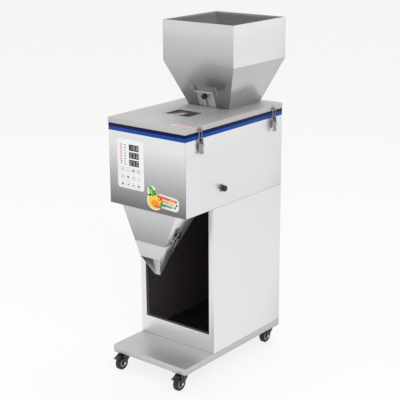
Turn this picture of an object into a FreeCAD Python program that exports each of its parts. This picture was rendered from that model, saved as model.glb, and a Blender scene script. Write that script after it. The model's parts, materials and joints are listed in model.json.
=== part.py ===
"""Vibratory weighing filler for powder and granules, on casters.

Millimetres, +Z up, +X to the machine's right, the control panel faces -Y.
The model is drawn with the fascia at y = 0 and the floor at z = 0. Before export it is moved along Y so
that the origin is the middle of its footprint on the floor.
"""
import FreeCAD
import Part
import math
import os

V = FreeCAD.Vector

# ---------------------------------------------------------------- driving sizes
BODY_WIDTH = 320.0        # across cabinet and housing
BODY_DEPTH = 520.0        # fascia to rear wall
CABINET_SETBACK = 140.0   # cabinet front behind the fascia
CABINET_HEIGHT = 508.0
HOUSING_HEIGHT = 245.0
SEAL_HEIGHT = 24.0        # blue seal frame under the lid
LID_HEIGHT = 17.0
TRAY_HEIGHT = 22.0
TRAY_NOSE = 12.0          # tray in front of the fascia plane
TRAY_CORNER = 9.0
SHEET = 1.2               # body and hopper sheet
TRAY_SHEET = 1.5
GAP = 0.3                 # between faces of pieces that move past each other
RUNNING = 0.05            # radial clearance of a pin in its bore
OVERCUT = 1.0             # how far a cutting tool runs past the faces that it cuts
FAR = 500.0               # past every piece
TRAY_BAR_EDGE = 1.0       # cross bar's edges inside the caster plate's
FASCIA_LIP = 7.2          # inward fold at the fascia's top
SEAL_WALL = 9.0
SEAL_FRONT_WALL = 11.0
TONGUE_WALL = 3.0         # seal's tongue inside the housing
TONGUE_DROP = 6.0

# hopper
HOPPER_WIDTH = 295.0
HOPPER_LENGTH = 291.0
HOPPER_BASE_WIDTH = 172.0
HOPPER_BASE_LENGTH = 175.0
HOPPER_CENTRE_Y = 406.5
HOPPER_TAPER_HEIGHT = 150.0
HOPPER_BOX_HEIGHT = 136.0
OUTLET_GAP = 6.0          # outlet walls above the trough's floor
OUTLET_IN = 7.0           # outlet's walls inside the hopper's base
OUTLET_LAP = 6.0          # lid's opening inside the hopper's base
OUTLET_WINDOW_SIDE = 5.0  # opening behind the gate, inside the gate's edges
OUTLET_WINDOW = (8.0, 50.0)   # the opening along the slope, above the outlet's low edge
FOOT_IN = 0.5             # foot plate inside the taper's outer faces
RIM_DEPTH = 8.0

# hopper gate
GATE_WIDTH = 85.0
GATE_ABOVE = 60.0         # along the slope, above the lid
GATE_TRAVEL = 40.0
GATE_SHEET = 1.5
GATE_LIP = 11.0
RAIL_COVER = 6.0          # rail over the gate's edge
RAIL_WIDTH = 9.0
RAIL_SPAN = (3.0, 78.0)   # along the slope, above the lid
GATE_TIP = 2.0            # gate's end above the outlet's low edge
LID_GATE_SIDE = 2.0       # lid's slot beside the gate
LID_GATE_SLOT = (-5.0, 9.0)   # lid's slot before and behind the hopper's base
GATE_STUD_R = 3.0
GATE_STUD_AT = 44.0       # stud's place up the slope
GATE_KNOB_R = 9.0
GATE_KNOB_LENGTH = 12.0
GATE_KNOB_CAP = 0.5       # knob's end over the stud
SCALLOP_COUNT = 6
SCALLOP_R = 3.0
SCALLOP_OUT = 1.6         # scallop's centre outside the knob's rim
SCALLOP_FOOT = 2.0        # plain collar under the scallops

# cabinet opening
STILE = 21.0
SILL = 64.0
HEADER = 10.0
STILE_RETURN = 14.0

# rear service panel
PANEL_WIDTH = 230.0
PANEL_HEIGHT = 380.0
PANEL_LAP = 12.0
LOUVRE_COUNT = 6
LOUVRE_LENGTH = 120.0
LOUVRE_HEIGHT = 5.0
LOUVRE_PITCH = 14.0

# lid window
WINDOW_WIDTH = 100.0
WINDOW_LENGTH = 78.0
WINDOW_CENTRE_Y = 189.0
WINDOW_LAP = 6.0
WINDOW_THICK = 2.5

# control panel on the fascia
OVERLAY_LEFT = -123.0
OVERLAY_RIGHT = -10.0
OVERLAY_HEIGHT = 163.0
OVERLAY_DROP = 22.0       # film's top below the housing's top
OVERLAY_THICK = 0.8
OVERLAY_CORNER = 9.0
DISPLAY_CENTRE_X = -51.5
DISPLAY_WIDTH = 43.0
DISPLAY_HEIGHT = 21.5
DISPLAY_PITCH = 25.0
DISPLAY_DROP = 37.0       # top display below the housing's top
DISPLAY_COUNT = 3
BOARD_THICK = 1.6
BOARD_EDGE = 4.0          # board inside the overlay's outline
BOARD_STAND = 10.0        # board behind the fascia
STANDOFF_R = 3.0
STANDOFF_IN = 12.0        # standoffs inside the film's outline
DISPLAY_ROOM = (0.6, 1.0)     # film's window and display inside the fascia's window
CHIPS = (((22.0, 46.0), (30.0, 54.0), 4.0), ((60.0, 96.0), (20.0, 34.0), 12.0))   # x, z and height

# discharge funnel, depths below the housing's floor
FUNNEL_FRONT_Y = 8.0
FUNNEL_HALF_WIDTH = 115.5     # at the housing's floor
FUNNEL_REAR_Y = 128.0
FUNNEL_REAR_END = 61.0        # rear wall where the front wall ends
FUNNEL_SEAM = 114.0
FUNNEL_FRONT_END = 164.0
FUNNEL_TIP = 233.0
FUNNEL_TIP_HALF = 10.5
FUNNEL_TIP_REAR = 49.0
FUNNEL_TIP_DEPTH = 4.0        # front to rear at the tip
MOUTH_OVER = 6.0              # the hollow runs out through the open mouth
SPOUT_LAP = 8.0               # spout's collar inside the funnel
SPOUT_PLAY = 0.4

# draw latches
LATCH_PIN_R = 1.5
LATCH_WIRE_R = 1.25
LATCH_THROW = 5.0         # lever pivot to bail pivot
LATCH_AXIS_OUT = 6.0      # pivot from the wall it is on
LATCH_SHEET = 1.2
LATCH_BASE_WIDTH = 26.0
LATCH_REACH = 36.0        # lever pivot to the bail's cross bar
LATCH_LEVER_LENGTH = 38.0
LATCH_BASE_Z = (-30.0, 7.0)
LATCH_CORNER = 3.0
LATCH_EAR_X = 10.2        # inner face of an ear
LATCH_EAR_HALF = 5.0
LATCH_EAR_RISE = 3.0      # ear above the pivot
LATCH_EAR_CORNER = 2.5
LATCH_RIVET_X = (8.4, 11.4)
LEVER_HALF = ((12.5, -9.5), (12.0, -18.0), (8.2, -27.0), (8.2, -30.0), (10.5, -LATCH_LEVER_LENGTH))
LEVER_RISE = 3.2          # lever's plate above the pivot
LEVER_CURL = (2.8, 3.2)   # rise and run of the curled end
LEVER_FLANGE_X = 8.6      # inner face of a flange
LEVER_FLANGE_Z = (-20.0, -16.0, 1.4, 3.2)
LEVER_FLANGE_CORNER = 1.8
BAIL_LEG_X = 6.9
BAIL_FOOT_X = 9.7
KEEPER_HALF = 8.0
KEEPER_Z = (-8.0, 9.0)    # plate below and above the hook
KEEPER_CORNER = 2.5
HOOK_HALF = 4.6
HOOK_LIP = 2.2
LID_LATCH_DROP = 4.0      # lever pivot below the housing's top
LID_LATCH_Y = (68.0, 463.0)
SPOUT_LATCH_RISE = 20.0   # lever pivot above the funnel's seam, up the wall
SPOUT_LATCH_Y = 47.0

# side lock knob
LOCK_Y = 191.0
LOCK_Z = 59.0
LOCK_KNOB_R = 10.0
LOCK_KNOB_LENGTH = 11.0
LOCK_KNOB_BEVEL = 2.5
LOCK_STEM_R = 3.0
LOCK_STEM_INSIDE = 14.0

# casters
CASTER_SIDE = 32.0        # swivel axis from the tray's side
CASTER_INSET = 24.0       # swivel axis from the tray's front and rear edges
CASTER_TRAIL = 17.0
WHEEL_R = 24.0
FORK_ROOM = 14.0          # caster height above the wheel's top
WHEEL_WIDTH = 21.0
WHEEL_BEVEL = 3.5
CASTER_PLATE = (60.0, 46.0, 2.5)
CASTER_PLATE_CORNER = 5.0
KINGPIN_LENGTH = 10.0     # below the top plate
KINGPIN_R = 4.0
AXLE_R = 3.0
PEDAL_PIN_R = 1.5
FORK_SHEET = 1.8
RACE_R = 17.0
RACE_HEIGHT = 3.5
RACE_TAPER = 3.0
FORK_SIDE = 1.0           # cheek beside the wheel
FORK_TOP = 1.2            # crown above the wheel
FORK_FOOT_R = 8.0
CROWN_REAR = 4.0          # cheeks' rear edge inside the crown
CROWN_FRONT = 1.0         # cheeks' front edge inside the crown
CHEEK_WAIST = (8.0, 12.0)     # cheek's rear and front corners below the crown
CHEEK_END = 3.0           # cheek's end below the axle
AXLE_HEAD = 2.2           # head's height, and its width outside the axle
HUB_BOSS = 4.0            # boss's wall round the axle
HUB_DISH = 3.0            # web below the boss's face
HUB_RIM = (8.0, 7.0)      # rim's foot and edge inside the tread
TYRE_IN = 0.8             # tyre's side inside the boss's face
TYRE_SHOULDER = 1.0
PEDAL_AT = (3.5, 3.6)     # pin before the race, and above the wheel's top
PEDAL_EYE = 2.2           # fork's lug round the pin
PEDAL_HALF = 9.0
PEDAL_OUTLINE = ((2.0, -2.0), (-8.0, -2.0), (-25.0, -8.0), (-26.0, -4.0), (-10.0, 3.0), (1.5, 3.0))
PEDAL_EDGE = 1.2

# feeder
TROUGH_DROP = 50.0         # trough floor below the housing's top
TROUGH_WALL = 42.0
TROUGH_REAR_WIDTH = 184.0
TROUGH_FRONT_WIDTH = 66.0
TROUGH_FRONT_Y = 72.0
TROUGH_REAR_Y = 506.0
TROUGH_NARROW_Y = (120.0, 300.0)
FEEDER_BASE = (110.0, 190.0, 14.0)
FEEDER_CENTRE_Y = 365.0
RUBBER_R = 11.0
RUBBER_HEIGHT = 18.0
SPRING_SHEET = 2.0
SPRING_WIDTH = 80.0
SPRING_LEAN = 16.0
MAGNET = (56.0, 52.0, 62.0)
MAGNET_AIR_GAP = 2.0
FEEDER_CORNER = 6.0
CARRIER_DEPTH = 22.0      # sprung carrier under the trough
CARRIER_WALL = 3.0
CARRIER_OVER = 6.0        # carrier past the base at each end
SPRING_INSET = (6.0, 12.0)    # springs inside the base's front and rear ends
COIL_SHORT = 8.0          # coil's rear end inside the core's
COIL_CORNER = 7.0
CORE_INSET = 2.0
ARMATURE_THICK = 6.0

# weighing bucket
BUCKET_WIDTH = 92.0
BUCKET_LENGTH = 74.0
BUCKET_FRONT_Y = 34.0
BUCKET_UNDER = 33.0        # bucket's rim below the trough's floor
BUCKET_FRONT_DROP = 112.0
BUCKET_REAR_DROP = 84.0
DOOR_PIN_R = 2.0
DOOR_HINGE = (5.0, 1.0)       # hinge behind the bucket, and below its rear edge
DOOR_THICK = 1.56
HINGE_EYE = 2.0               # knuckle's wall round the pin
BUCKET_EAR_X = (28.0, 31.0)
BUCKET_EAR_HEIGHT = 16.0
BUCKET_EAR_THROAT = 3.0
DOOR_PIN_HALF = 34.0
DOOR_KNUCKLE_X = (21.0, 27.0)
DOOR_ARM = 12.0               # knuckle arms' length along the flap
DOOR_ARM_DEPTH = (1.0, 3.0)   # arm's top and underside below the flap's top
DOOR_EYE_SPAN = (2.0, -4.0)   # arm's end above and below the pin
DOOR_BAR = (3.0, 2.6, 7.0)    # bar joining the knuckles: half depth, top and underside below the pin
DOOR_TAIL = (4.0, 3.0, 22.0)  # tail: half width, thickness and drop
HANGER = (3.0, 20.0, 14.0)    # bucket's angle: thickness, shelf and drop
HANGER_SIDE = 3.0             # angle wider than the load cell
LOAD_CELL = (14.0, 84.0, 14.0)
LOAD_CELL_DROP = 42.0      # bar's underside below the bucket's rim
LOAD_CELL_BEHIND = 6.0        # bar behind the bucket
LOAD_CELL_HOLE_R = 4.0
LOAD_CELL_HOLE_PITCH = 10.0
POST = (32.0, 28.0, 4.0)      # load cell's post: width, depth and wall
POST_LAP = 24.0               # post under the bar's end
POST_CAP = 6.0                # post's solid foot and cap
STAND_WALL = 3.0
SOLENOID = (28.0, 40.0, 28.0)
PLUNGER_R = 5.0
PLUNGER_TRAVEL = 14.0
SOLENOID_AT = (21.0, 18.0)    # behind the hinge, and below it
SOLENOID_CORNER = 3.0
SOLENOID_END = 3.0            # closed end of the solenoid's bore
PLUNGER_NOSE = 7.0            # plunger's nose behind the hinge
PLUNGER_ROOM = 5.0            # plunger's rear end from the solenoid's, past its travel

# electrics
INLET_X = 96.0
INLET_Z = 70.0
INLET_BEZEL = (30.0, 60.0, 2.0)
INLET_BODY_DEPTH = 28.0
INLET_LAP = 3.0           # bezel over the rear wall's opening
INLET_WELL = (21.0, 16.0, 16.0)   # width, height and depth
INLET_WELL_DROP = 13.0
INLET_PIN = (2.0, 5.0, 15.0)      # width, height and length
INLET_PINS = ((-6.5, -2.0), (0.0, 2.0), (6.5, -2.0))
ROCKER_RISE = 14.0
ROCKER_PIVOT = 6.0        # pivot inside the rear wall's face
ROCKER_SIDE = (5.5, 1.2)      # nest's depth in front of the pivot, and its room above and below
ROCKER_DEPTH = 2.5
ROCKER_OVER = 2.0         # rocker's ends proud of the bezel
ROCKER_DISH = 22.6        # dish's centre outside the bezel
ROCKER_DISH_R = 22.0
ROCKER_EDGE = 0.5
ROCKER = (13.0, 20.0)

# ---------------------------------------------------------------- derived levels
CASTER_HEIGHT = 2 * WHEEL_R + FORK_ROOM
CASTER_X = BODY_WIDTH / 2 - CASTER_SIDE
TROUGH_FLOOR = HOUSING_HEIGHT - TROUGH_DROP
OUTLET_DROP = LID_HEIGHT + SEAL_HEIGHT + TROUGH_DROP - SHEET - OUTLET_GAP
BUCKET_TOP = TROUGH_FLOOR - BUCKET_UNDER
OVERLAY_TOP = HOUSING_HEIGHT - OVERLAY_DROP
OVERLAY_BOTTOM = OVERLAY_TOP - OVERLAY_HEIGHT
DISPLAY_TOP = HOUSING_HEIGHT - DISPLAY_DROP
Z_TRAY = CASTER_HEIGHT
Z_TRAY_TOP = Z_TRAY + TRAY_HEIGHT
Z_HOUSING = Z_TRAY_TOP + CABINET_HEIGHT
Z_SEAL = Z_HOUSING + HOUSING_HEIGHT
Z_LID = Z_SEAL + SEAL_HEIGHT
Z_LID_TOP = Z_LID + LID_HEIGHT
Z_FOLD = Z_LID_TOP + HOPPER_TAPER_HEIGHT
HALF = BODY_WIDTH / 2
LID_OVERHANG = SHEET + GAP      # the lid's fold hangs outside the seal
HOPPER_BASE_FRONT = HOPPER_CENTRE_Y - HOPPER_BASE_LENGTH / 2
HOPPER_BASE_REAR = HOPPER_CENTRE_Y + HOPPER_BASE_LENGTH / 2
SLOPE = math.atan2(HOPPER_TAPER_HEIGHT, (HOPPER_LENGTH - HOPPER_BASE_LENGTH) / 2)

nodes = {}


# ---------------------------------------------------------------- shape helpers
def block(x, y, z):
    """A box between two x, two y and two z values."""
    corner = V(min(x), min(y), min(z))
    return Part.makeBox(abs(x[1] - x[0]), abs(y[1] - y[0]), abs(z[1] - z[0]), corner)


def rod(radius, start, end):
    """A round bar between two points."""
    line = V(*end) - V(*start)
    return Part.makeCylinder(radius, line.Length, V(*start), line)


def plate(points, thickness):
    """A flat shape through the given points, made thick by a vector."""
    wire = Part.makePolygon([V(*p) for p in points] + [V(*points[0])])
    return Part.Face(wire).extrude(V(*thickness))


def join(*shapes):
    """One solid from several that touch, with seams between level faces removed."""
    body = shapes[0].multiFuse(list(shapes[1:])) if len(shapes) > 1 else shapes[0]
    return body.removeSplitter()


def cut(body, *tools):
    """The body less each tool."""
    return body.cut(list(tools)).removeSplitter()


def upright_edges(shape, x=None, y=None):
    """Straight edges along Z, kept where they lie at the given x and y values."""
    found = []
    for edge in shape.Edges:
        a, b = edge.Vertexes[0].Point, edge.Vertexes[-1].Point
        if abs(a.x - b.x) < 1e-6 and abs(a.y - b.y) < 1e-6 and abs(a.z - b.z) > 1e-6:
            if (x is None or min(abs(a.x - v) for v in x) < 1e-3) and \
                    (y is None or min(abs(a.y - v) for v in y) < 1e-3):
                found.append(edge)
    return found


def edges_along(shape, axis, test=lambda p: True):
    """Straight edges along 'x', 'y' or 'z' whose middle passes a test."""
    others = [a for a in "xyz" if a != axis]
    found = []
    for edge in shape.Edges:
        a, b = edge.Vertexes[0].Point, edge.Vertexes[-1].Point
        level = all(abs(getattr(a, o) - getattr(b, o)) < 1e-6 for o in others)
        if level and abs(getattr(a, axis) - getattr(b, axis)) > 1e-6 and test((a + b) * 0.5):
            found.append(edge)
    return found


def frustum(x0, y0, z0, x1, y1, z1):
    """A solid between a level rectangle at z0 and another at z1; x and y are (low, high) pairs."""
    def ring(x, y, z):
        return [V(x[0], y[0], z), V(x[1], y[0], z), V(x[1], y[1], z), V(x[0], y[1], z)]
    low, high = ring(x0, y0, z0), ring(x1, y1, z1)
    sides = [[low[i], low[(i + 1) % 4], high[(i + 1) % 4], high[i]] for i in range(4)]
    faces = [Part.Face(Part.makePolygon(loop + loop[:1])) for loop in [low, high] + sides]
    return Part.Solid(Part.Shell(faces))


def keep(name, *solids):
    """Store a node; several solids are kept apart in one compound."""
    nodes[name] = solids[0] if len(solids) == 1 else Part.makeCompound(list(solids))


# ---------------------------------------------------------------- base, cabinet and housing
def base_tray():
    """A folded pan, open below, with rounded front corners and a cross bar over each pair of casters."""
    y = (-TRAY_NOSE, BODY_DEPTH)
    outer = block((-HALF, HALF), y, (Z_TRAY, Z_TRAY_TOP))
    outer = outer.makeFillet(TRAY_CORNER, upright_edges(outer, y=(y[0],)))
    within = (TRAY_SHEET - HALF, HALF - TRAY_SHEET)
    inner = block(within, (y[0] + TRAY_SHEET, y[1] - TRAY_SHEET), (Z_TRAY - OVERCUT,
                                                                   Z_TRAY_TOP - TRAY_SHEET))
    inner = inner.makeFillet(TRAY_CORNER - TRAY_SHEET, upright_edges(inner, y=(y[0] + TRAY_SHEET,)))
    bars = []
    for row_y in caster_rows():
        front = row_y - CASTER_PLATE[1] / 2 + TRAY_BAR_EDGE
        rear = row_y + CASTER_PLATE[1] / 2 - TRAY_BAR_EDGE - TRAY_SHEET
        bar = block(within, (front, rear), (Z_TRAY, Z_TRAY_TOP - TRAY_SHEET))
        hollow = block((2 * TRAY_SHEET - HALF, HALF - 2 * TRAY_SHEET), (front + TRAY_SHEET,
                                                                        rear - TRAY_SHEET),
                       (Z_TRAY + 2 * TRAY_SHEET, Z_TRAY_TOP))
        bars.append(bar.cut(hollow))
    keep("base_tray", join(outer.cut(inner), *bars))


def cabinet_shell():
    """Sides and a framed front and back in one folded sheet, open to the tray below and the housing above."""
    y = (CABINET_SETBACK, BODY_DEPTH)
    z = (Z_TRAY_TOP, Z_HOUSING)
    inner = block((SHEET - HALF, HALF - SHEET), (y[0] + SHEET, y[1] - SHEET), (z[0] - OVERCUT,
                                                                               z[1] + OVERCUT))
    shell = block((-HALF, HALF), y, z).cut(inner)
    mouth_x = (STILE - HALF, HALF - STILE)
    mouth_z = (z[0] + SILL, z[1] - HEADER)
    shell = shell.cut(block(mouth_x, (y[0] - OVERCUT, y[0] + SHEET + OVERCUT), mouth_z))
    returns = block((mouth_x[0] - SHEET, mouth_x[1] + SHEET), (y[0], y[0] + STILE_RETURN),
                    (mouth_z[0] - SHEET, mouth_z[1] + SHEET))
    returns = returns.cut(block(mouth_x, (y[0] - OVERCUT, y[1]), mouth_z))
    bottom, top = panel_levels()
    half = PANEL_WIDTH / 2 - PANEL_LAP
    hatch = block((-half, half), (y[1] - SHEET - OVERCUT, y[1] + OVERCUT), (bottom + PANEL_LAP,
                                                                            top - PANEL_LAP))
    keep("cabinet_shell", join(shell.cut(hatch), returns))


def panel_levels():
    """Bottom and top of the rear service panel, centred on the cabinet's height."""
    middle = (Z_TRAY_TOP + Z_HOUSING) / 2
    return middle - PANEL_HEIGHT / 2, middle + PANEL_HEIGHT / 2


def rear_service_panel():
    """A flat cover screwed inside the cabinet's rear hatch, with a bank of louvre slots."""
    bottom, top = panel_levels()
    y = (BODY_DEPTH - 2 * SHEET, BODY_DEPTH - SHEET)
    panel = block((-PANEL_WIDTH / 2, PANEL_WIDTH / 2), y, (bottom, top))
    slots = []
    for i in range(LOUVRE_COUNT):
        z = (bottom + top) / 2 + (i - (LOUVRE_COUNT - 1) / 2) * LOUVRE_PITCH
        slots.append(block((-LOUVRE_LENGTH / 2, LOUVRE_LENGTH / 2), (y[0] - OVERCUT, y[1] + OVERCUT),
                           (z - LOUVRE_HEIGHT / 2, z + LOUVRE_HEIGHT / 2)))
    keep("rear_service_panel", cut(panel, *slots))


def housing_shell():
    """Floor, sides and rear wall of the upper box; its front is closed by the fascia."""
    y = (SHEET, BODY_DEPTH)
    z = (Z_HOUSING, Z_SEAL)
    inner = block((SHEET - HALF, HALF - SHEET), (y[0] - OVERCUT, y[1] - SHEET), (z[0] + SHEET,
                                                                                 z[1] + OVERCUT))
    half = FUNNEL_HALF_WIDTH - SHEET
    mouth = block((-half, half), (FUNNEL_FRONT_Y + SHEET, FUNNEL_REAR_Y - SHEET),
                  (z[0] - OVERCUT, z[0] + SHEET + OVERCUT))
    stem = rod(LOCK_STEM_R + RUNNING, (HALF - 2 * SHEET, LOCK_Y, z[0] + LOCK_Z), (HALF + OVERCUT, LOCK_Y,
                                                                                  z[0] + LOCK_Z))
    wide, high = INLET_BEZEL[0] / 2 - INLET_LAP, INLET_BEZEL[1] / 2 - INLET_LAP
    inlet = block((INLET_X - wide, INLET_X + wide), (y[1] - SHEET - OVERCUT, y[1] + OVERCUT),
                  (z[0] + INLET_Z - high, z[0] + INLET_Z + high))
    keep("housing_shell", cut(block((-HALF, HALF), y, z), inner, mouth, stem, inlet))


def front_fascia():
    """The front sheet, returned inward at its top, with a window behind each display."""
    z = (Z_HOUSING, Z_SEAL)
    sheet = block((-HALF, HALF), (0, SHEET), z)
    lip = block((2 * SHEET - HALF, HALF - 2 * SHEET), (0, FASCIA_LIP), (z[1] - SHEET, z[1]))
    windows = [block(*display_box(i, 0.0, -OVERCUT, SHEET + OVERCUT)) for i in range(DISPLAY_COUNT)]
    keep("front_fascia", cut(join(sheet, lip), *windows))


def display_box(index, inset, front, rear):
    """One display's outline, smaller by the inset, between two depths."""
    top = Z_HOUSING + DISPLAY_TOP - index * DISPLAY_PITCH
    half = DISPLAY_WIDTH / 2 - inset
    return ((DISPLAY_CENTRE_X - half, DISPLAY_CENTRE_X + half), (front, rear),
            (top - DISPLAY_HEIGHT + inset, top - inset))


def lid_seal():
    """The blue frame: a broad ring that the lid's plate rests on, and a tongue in the housing."""
    inner_x = (SEAL_WALL - HALF, HALF - SEAL_WALL)
    inner_y = (SEAL_FRONT_WALL, BODY_DEPTH - SEAL_WALL)
    ring = block((-HALF, HALF), (0, BODY_DEPTH), (Z_SEAL, Z_LID_TOP - SHEET))
    ring = ring.cut(block(inner_x, inner_y, (Z_SEAL - OVERCUT, Z_LID_TOP)))
    side, front, rear = HALF - SHEET - GAP, FASCIA_LIP + SHEET, BODY_DEPTH - SHEET - GAP
    wall = TONGUE_WALL - GAP
    tongue = block((-side, side), (front, rear), (Z_SEAL - TONGUE_DROP, Z_SEAL))
    tongue = tongue.cut(block((wall - side, side - wall), (front + TONGUE_WALL, rear - wall),
                              (Z_SEAL - TONGUE_DROP - OVERCUT, Z_SEAL + OVERCUT)))
    keep("lid_seal", join(ring, tongue))


def lid():
    """A folded cover plate with openings for the hopper's outlet, its gate and the window."""
    x = (-HALF - LID_OVERHANG, HALF + LID_OVERHANG)
    y = (-LID_OVERHANG, BODY_DEPTH + LID_OVERHANG)
    outer = block(x, y, (Z_LID, Z_LID_TOP))
    outer = outer.makeFillet(LID_OVERHANG * 2, upright_edges(outer))
    fold = block((x[0] + SHEET, x[1] - SHEET), (y[0] + SHEET, y[1] - SHEET), (Z_LID - OVERCUT,
                                                                              Z_LID_TOP - SHEET))
    through = (Z_LID_TOP - SHEET - OVERCUT, Z_LID_TOP + OVERCUT)
    outlet = block(*outlet_opening(), through)
    half = GATE_WIDTH / 2 + LID_GATE_SIDE
    gate = block((-half, half), [HOPPER_BASE_FRONT + edge for edge in LID_GATE_SLOT], through)
    window = block((-WINDOW_WIDTH / 2, WINDOW_WIDTH / 2),
                   (WINDOW_CENTRE_Y - WINDOW_LENGTH / 2, WINDOW_CENTRE_Y + WINDOW_LENGTH / 2), through)
    window = window.makeFillet(WINDOW_LAP, upright_edges(window))
    keep("lid", cut(outer, fold, outlet, gate, window))


def outlet_opening():
    """The lid's opening for the hopper's outlet, as x and y spans."""
    half = HOPPER_BASE_WIDTH / 2 - OUTLET_LAP
    return (-half, half), (HOPPER_BASE_FRONT - GAP, HOPPER_BASE_REAR - OUTLET_LAP)


def lid_window():
    """A smoked pane held under the lid."""
    lap = WINDOW_LAP
    top = Z_LID_TOP - SHEET
    pane = block((-WINDOW_WIDTH / 2 - lap, WINDOW_WIDTH / 2 + lap),
                 (WINDOW_CENTRE_Y - WINDOW_LENGTH / 2 - lap, WINDOW_CENTRE_Y + WINDOW_LENGTH / 2 + lap),
                 (top - WINDOW_THICK, top))
    keep("lid_window", pane.makeFillet(2 * lap, upright_edges(pane)))


# ---------------------------------------------------------------- hopper and gate
def slope_point(x, along, out):
    """A point on the hopper's front slope: along it from the lid's top, and out from its face."""
    y = HOPPER_BASE_FRONT - along * math.cos(SLOPE) - out * math.sin(SLOPE)
    z = Z_LID_TOP + along * math.sin(SLOPE) - out * math.cos(SLOPE)
    return x, y, z


def slope_slab(x, along, out):
    """A slab lying on the front slope, between two x, two along and two out values."""
    corners = [slope_point(x[0], along[0], out[0]), slope_point(x[1], along[0], out[0]),
               slope_point(x[1], along[1], out[0]), slope_point(x[0], along[1], out[0])]
    return plate(corners, tuple(V(*slope_point(0, 0, out[1])) - V(*slope_point(0, 0, out[0]))))


def hopper_body(inset):
    """The hopper's taper and upper box as solid forms, smaller by the inset."""
    top = HOPPER_WIDTH / 2 - inset
    base = HOPPER_BASE_WIDTH / 2 - inset
    long_top = (HOPPER_CENTRE_Y - HOPPER_LENGTH / 2 + inset, HOPPER_CENTRE_Y + HOPPER_LENGTH / 2 - inset)
    long_base = (HOPPER_BASE_FRONT + inset, HOPPER_BASE_REAR - inset)
    taper = frustum((-base, base), long_base, Z_LID_TOP, (-top, top), long_top, Z_FOLD)
    over = OVERCUT if inset else 0.0
    return taper, block((-top, top), long_top, (Z_FOLD, Z_FOLD + HOPPER_BOX_HEIGHT + over))


def outlet_body(inset, low):
    """The outlet below the lid: upright at sides and back, sloping with the gate in front."""
    half = HOPPER_BASE_WIDTH / 2 - OUTLET_IN - inset
    rear = HOPPER_BASE_REAR - OUTLET_IN - inset
    front = HOPPER_BASE_FRONT + inset
    run = (Z_LID_TOP - low) / math.tan(SLOPE)
    points = [(-half, front, Z_LID_TOP), (-half, rear, Z_LID_TOP), (-half, rear, low), (-half, front + run,
                                                                                        low)]
    return plate(points, (2 * half, 0, 0))


def gate_rails():
    """Two stepped guides on the front slope, each reaching over one edge of the gate."""
    cover_out = GATE_SHEET + 2 * GAP
    rails = []
    for side in (-1, 1):
        near = side * (GATE_WIDTH / 2 + GAP)
        far = near + side * RAIL_WIDTH
        flat = slope_slab((near, far), RAIL_SPAN, (0, cover_out))
        cover = slope_slab((near - side * RAIL_COVER, far), RAIL_SPAN, (cover_out, cover_out + SHEET))
        rails.append(flat.fuse(cover))
    return rails


def hopper_foot():
    """The flat return at the taper's base, open over the outlet."""
    half_x = HOPPER_BASE_WIDTH / 2
    foot = block((FOOT_IN - half_x, half_x - FOOT_IN), (HOPPER_BASE_FRONT + FOOT_IN,
                                                        HOPPER_BASE_REAR - FOOT_IN),
                 (Z_LID_TOP, Z_LID_TOP + SHEET))
    half = half_x - OUTLET_IN - SHEET
    return foot.cut(block((-half, half), (HOPPER_BASE_FRONT, HOPPER_BASE_REAR - OUTLET_IN - SHEET),
                          (Z_LID_TOP - OVERCUT, Z_LID_TOP + SHEET + OVERCUT)))


def hopper():
    """Upper box, taper, foot and outlet in one welded sheet body, with the gate's rails and stud."""
    taper, upper = hopper_body(0.0)
    taper_in, upper_in = hopper_body(SHEET)
    shell = taper.fuse(upper).cut(taper_in).cut(upper_in)
    low = Z_LID_TOP - OUTLET_DROP
    outlet = outlet_body(0.0, low).cut(outlet_body(SHEET, low - OVERCUT))
    stud = rod(GATE_STUD_R, slope_point(0, GATE_STUD_AT, -SHEET / 2),
               slope_point(0, GATE_STUD_AT, GATE_SHEET + GATE_KNOB_LENGTH - 2 * GATE_KNOB_CAP))
    half = GATE_WIDTH / 2 - OUTLET_WINDOW_SIDE
    window = slope_slab((-half, half), [at - OUTLET_DROP for at in OUTLET_WINDOW], (-3 * SHEET, SHEET))
    body = join(shell, hopper_foot().common(taper), outlet, hopper_rim(), *gate_rails(), stud)
    keep("hopper", body.cut(window))


def hopper_rim():
    """A flat folded edge, turned inward round the hopper's mouth."""
    top = Z_FOLD + HOPPER_BOX_HEIGHT
    half, long_half, fold = HOPPER_WIDTH / 2, HOPPER_LENGTH / 2, 2 * SHEET
    ring = block((-half, half), (HOPPER_CENTRE_Y - long_half, HOPPER_CENTRE_Y + long_half),
                 (top - RIM_DEPTH, top))
    hole = block((fold - half, half - fold),
                 (HOPPER_CENTRE_Y - long_half + fold, HOPPER_CENTRE_Y + long_half - fold),
                 (top - RIM_DEPTH - OVERCUT, top + OVERCUT))
    return ring.cut(hole)


def hopper_gate():
    """The slide plate with its finger lip and the slot that runs over the clamp stud."""
    low = -(OUTLET_DROP - GATE_TIP) / math.sin(SLOPE)
    half = GATE_WIDTH / 2
    sheet = slope_slab((-half, half), (low, GATE_ABOVE), (GAP, GAP + GATE_SHEET))
    lip_half = half - RAIL_COVER - GAP
    lip = slope_slab((-lip_half, lip_half), (GATE_ABOVE - GATE_SHEET, GATE_ABOVE), (GAP, GATE_LIP))
    slot_half = GATE_STUD_R + GAP
    slot_ends = (GATE_STUD_AT - GATE_TRAVEL, GATE_STUD_AT)
    slot = slope_slab((-slot_half, slot_half), slot_ends, (0, 2 * GATE_SHEET))
    ends = [rod(slot_half, slope_point(0, at, 0), slope_point(0, at, 2 * GATE_SHEET)) for at in slot_ends]
    keep("hopper_gate", cut(join(sheet, lip), slot, *ends))


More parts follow.
